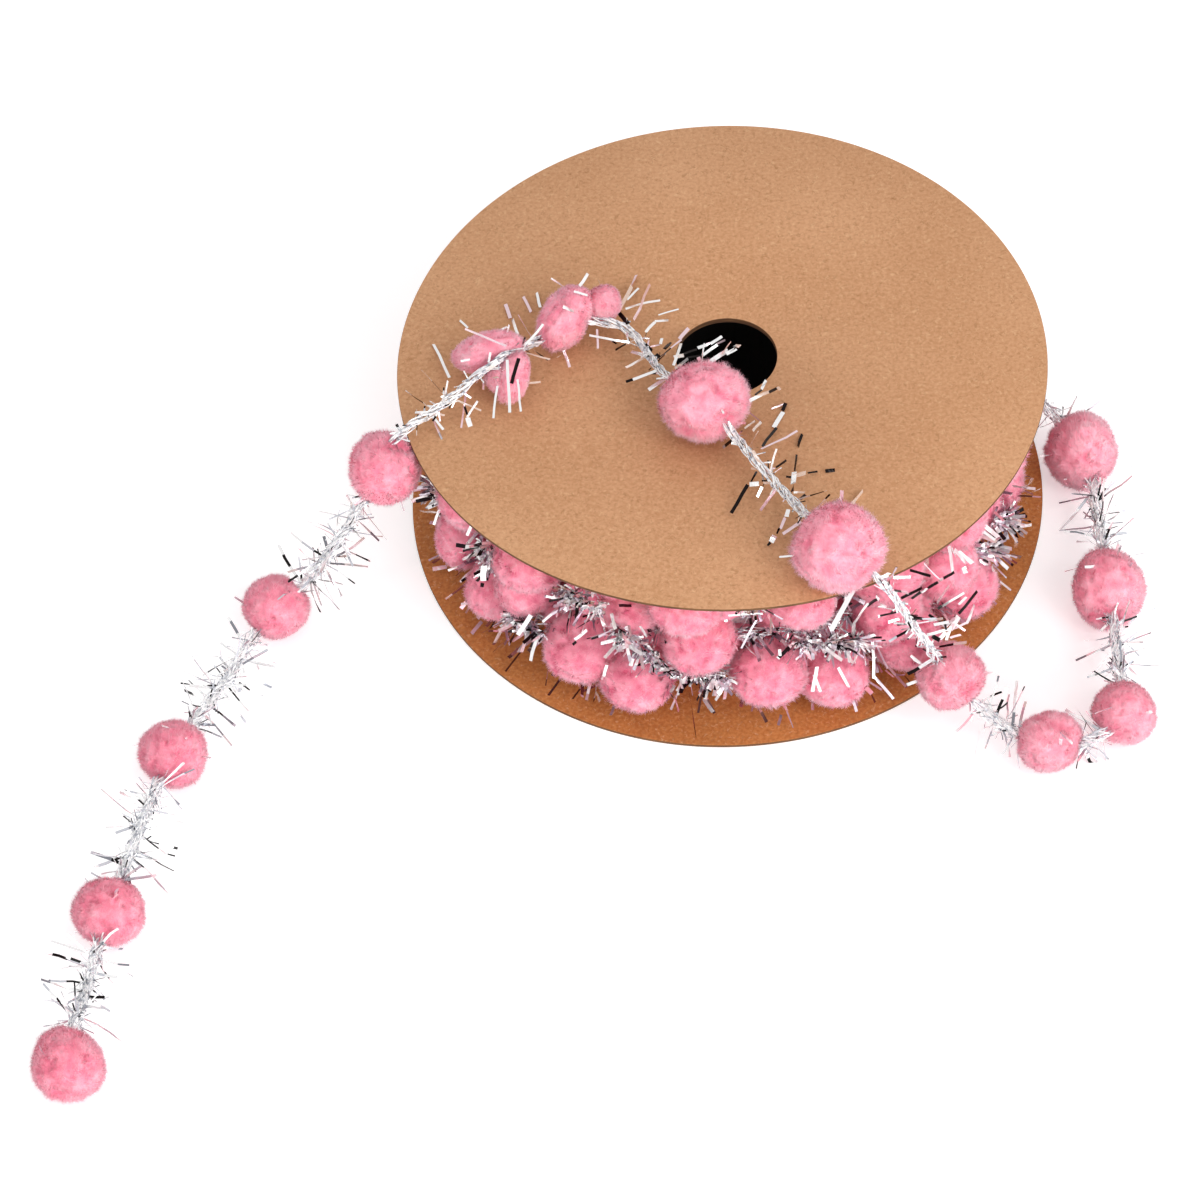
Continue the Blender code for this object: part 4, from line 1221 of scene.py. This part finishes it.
def fringeBlades(chance):
    # Blades of the lowest turn, which fan out over the lower board
    count = rollTinsel["fringe"]
    flat = chance.uniform(0, math.tau, count)
    outwards = np.stack([np.cos(flat), np.sin(flat), np.zeros(count)], 1)
    roots = outwards * rollTinsel["fringeReach"] * mm
    roots[:, 2] = chance.uniform(*rollTinsel["fringeLevel"], count) * mm
    directions = outwards + chance.normal(0, rollTinsel["fringeStray"], (count, 3))
    directions[:, 2] -= rollTinsel["fringeDrop"]
    lengths = chance.uniform(rollTinsel["fringeShort"], rollTinsel["fringeLong"], count)
    widths = chance.uniform(rollTinsel["fringeWide"] / 2, rollTinsel["fringeWide"], count)
    return strips(roots, directions, lengths, widths, foil["allTones"], rollTinsel["fringeBend"], chance)


# Strips that stand out of the roll
woundBlades = (
    (-146, -388, 161, 21, -31, 14, 5, 0), (-112, -400, 114, 25, -30, 38, 4, 0),
    (-63, -410, 118, -16, -21, -10, 5, 0), (-82, -407, 89, -5, -22, 15, 4, 0),
    (-35, -414, 99, -9, -22, -4, 5, 0), (-43, -413, 64, 11, -24, -1, 5, 0),
    (-5, -415, 249, 46, -21, 24, 3, 0), (33, -414, 237, -23, -24, -30, 3, 5),
    (52, -412, 237, -2, -23, -5, 3, 6), (-182, -373, 223, 18, -33, 60, 5, 0),
    (-162, -382, 222, 5, -27, 1, 5, 0), (-134, -393, 251, -15, -19, 27, 4, 9),
    (-139, -391, 206, 2, -25, 7, 4, 0), (-116, -399, 189, -9, -21, 47, 3, 0),
    (-155, -385, 197, 0, -25, 13, 5, 9), (65, -410, 47, 5, -23, 12, 4, 0),
    (70, -409, 24, 6, -22, -10, 3, 5), (62, -410, 17, -5, -24, 10, 4, 6),
    (162, -382, 174, 19, -17, 63, 3, 0), (182, -373, 204, 14, -18, 43, 4, 9),
    (177, -376, 140, 25, -13, 16, 3, 9), (203, -362, 121, 21, -14, 16, 4, 0),
    (228, -347, 98, 20, -14, 18, 4, 0), (190, -369, 123, 0, -26, -50, 4, 0),
    (195, -366, 113, 12, -20, -35, 3, 5), (208, -359, 42, 10, -21, 11, 3, 0),
    (192, -368, 40, 28, -16, -30, 4, 5), (182, -373, 38, 19, -16, -3, 3, 6),
    (245, -335, 55, 2, -27, 10, 4, 0), (253, -329, 19, -11, -36, 21, 5, 0),
    (220, -352, 23, 13, -19, 21, 3, 5), (235, -346, 10, 11, -17, 0, 2, 9),
    (226, -348, 63, 0, -27, 18, 5, 0), (-407, -80, 82, -34, 54, -72, 4, 0),
    (-412, -52, 85, -20, -22, 16, 4, 0), (-374, -181, 205, -16, -19, 15, 4, 0),
    (-321, -263, 236, -16, -17, 20, 4, 0), (-326, -256, 223, -10, -24, 23, 4, 0),
    (-327, -256, 215, 5, -42, 31, 3, 0), (-403, -100, 15, -23, -8, -5, 3, 6),
    (-400, -121, 10, -20, -3, 1, 6, 0), (-350, -223, 12, -14, -20, -1, 5, 5),
    (-313, -273, 56, 2, -36, 21, 4, 5), (-275, -311, 134, -20, -13, -27, 6, 0),
    (-271, -315, 100, -17, -16, -1, 5, 9), (-286, -301, 61, -10, -22, 11, 7, 0),
    (-269, -316, 89, -13, -19, -25, 5, 0), (-181, -373, 224, 16, -32, 56, 5, 0),
    (-213, -356, 216, 19, -36, 66, 5, 0), (-140, -391, 200, 3, -25, 15, 5, 0),
    (-173, -377, 96, -8, -22, 4, 4, 0), (-192, -368, 30, 9, -30, 18, 4, 0),
    (-167, -380, 14, -4, -23, 10, 4, 5), (341, -237, 211, 28, 0, -38, 6, 0),
    (343, -234, 190, 20, -12, -14, 4, 0), (346, -229, 167, 20, -11, -2, 5, 0),
    (366, -196, 178, 12, -25, 8, 4, 0), (386, -152, 95, 12, -31, 13, 4, 0),
    (396, -125, 55, 32, 30, -42, 4, 0), (403, -127, 10, 0, -46, 79, 5, 0),
    (370, -189, 85, 21, -10, 0, 3, 5), (396, -139, 10, 10, -25, 23, 5, 0),
    (374, -180, 20, -31, -93, 124, 4, 0), (366, -196, 62, 17, -17, -13, 2, 6),
    (398, -117, 135, 13, -35, 39, 4, 0), (424, -17, 10, -3, -104, 133, 4, 0),
    (389, -144, 145, 2, -52, 58, 4, 0), (414, -38, 10, -7, -125, 170, 4, 0),
    (388, -147, 103, 11, -33, 37, 4, 0), (295, -326, 268, 8, 1, -51, 5, 0),
    (299, -323, 261, 15, 9, -51, 6, 0), (303, -319, 251, 17, 11, -42, 6, 0),
    (309, -314, 241, 21, 16, -50, 6, 0), (317, -305, 195, 3, -3, -9, 6, 0),
    (-196, -394, 203, -16, 4, -29, 4, 0), (-212, -386, 168, -5, -2, -4, 4, 9),
    (-172, -405, 138, -6, -2, -23, 4, 0), (62, -436, 198, 0, -4, -9, 4, 0),
    (112, -425, 142, -5, -5, -48, 5, 0), (108, -426, 126, 5, -3, -35, 4, 0),
    (141, -417, 128, 18, 2, -69, 4, 0), (159, -410, 54, 6, -2, -31, 4, 5),
    (103, -428, 162, -5, -5, 24, 7, 0), (-334, -286, 215, -4, -1, -35, 8, 0),
    (-339, -280, 170, -1, -5, -3, 5, 9), (-347, -270, 282, -7, 3, -25, 4, 0),
)


def makeRollTinsel():
    film, spread = materials["rollFoil"], rollTinsel["spread"]
    strands = []
    for seed, (name, turn) in enumerate(turns.items(), seeds["roll"]):
        line = woundLine(turn)
        chance = np.random.default_rng(seed)
        pieces = [tinselOn(line, 0.0, line.length, chance, tinselKinds["wound"], spread)]
        makeTinsel(f"woundTinsel{name}", pieces, chance, film, keepInRoll)
        strands.append(laidStrands(line, 0.0, line.length, seed, closed=True, step=thread["rollStep"],
                                   strands=thread["rollStrands"]))
    chance = np.random.default_rng(seeds["bands"])
    pieces = [tinselOn(line, 0.0, line.length, chance, tinselKinds["band"], spread)
              for line in map(bandLine, bands)]
    pieces.append(markedStrips(woundBlades, chance))
    inBands = makeTinsel("woundTinselBands", pieces, chance, film, keepInRoll)
    # The fringe's film is painted pinkish brown: painted reflection of the pompoms and boards, in their
    # shade
    makeTinsel("woundTinselFringe", [fringeBlades(chance)], chance, materials["fringeFoil"], keepInRoll)
    points, faces, _ = joined(strands)
    facesOut(newPiece("woundThread", points, faces, materials["yarn"]))
    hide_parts(*[f"roll_tinsel_{number:02d}" for number in range(1, 10)])


makeRollTinsel()
print("tinsel made")

# Floor and light

stage = {
    "floor": "F4F4F4",
    "glow": 0.34,  # keeps the floor white under the object too
    "size": 3.0,
    "below": 0.02 * mm,
    "world": 0.8,
    "lights": (("keyLight", (1.5, -1.3, 1.4), 15.8, 1.2), ("lowLight", (0.65, -1.6, 0.5), 14.6, 1.1),
               ("glintLeft", (-0.8, -0.6, 0.7), 0.6, 0.12), ("glintRight", (0.5, -0.5, 0.9), 0.6, 0.12)),
}


def addSoftLight(name, place, power, size):
    bpy.ops.object.light_add(type="AREA", location=place)
    lamp = bpy.context.object
    lamp.name = name
    lamp.data.energy = power
    lamp.data.size = size
    lamp.rotation_euler = Vector(place).to_track_quat("Z", "Y").to_euler()


def setStage():
    bpy.ops.mesh.primitive_plane_add(size=stage["size"], location=(0, 0, -stage["below"]))
    floor = bpy.context.object
    floor.name = "paleFloor"
    made, _, shader = newMaterial("paleFloor", Roughness=0.9)
    shader.inputs["Base Color"].default_value = linearColour(stage["floor"])
    shader.inputs["Emission Color"].default_value = linearColour("FFFFFF")
    shader.inputs["Emission Strength"].default_value = stage["glow"]
    floor.data.materials.append(made)
    world = bpy.data.worlds.new("softRoom")
    world.use_nodes = True
    background = world.node_tree.nodes["Background"]
    background.inputs["Color"].default_value = linearColour("FFFFFF")
    background.inputs["Strength"].default_value = stage["world"]
    bpy.context.scene.world = world
    for light in stage["lights"]:
        addSoftLight(*light)
    bpy.context.scene.view_settings.view_transform = "Standard"


setStage()
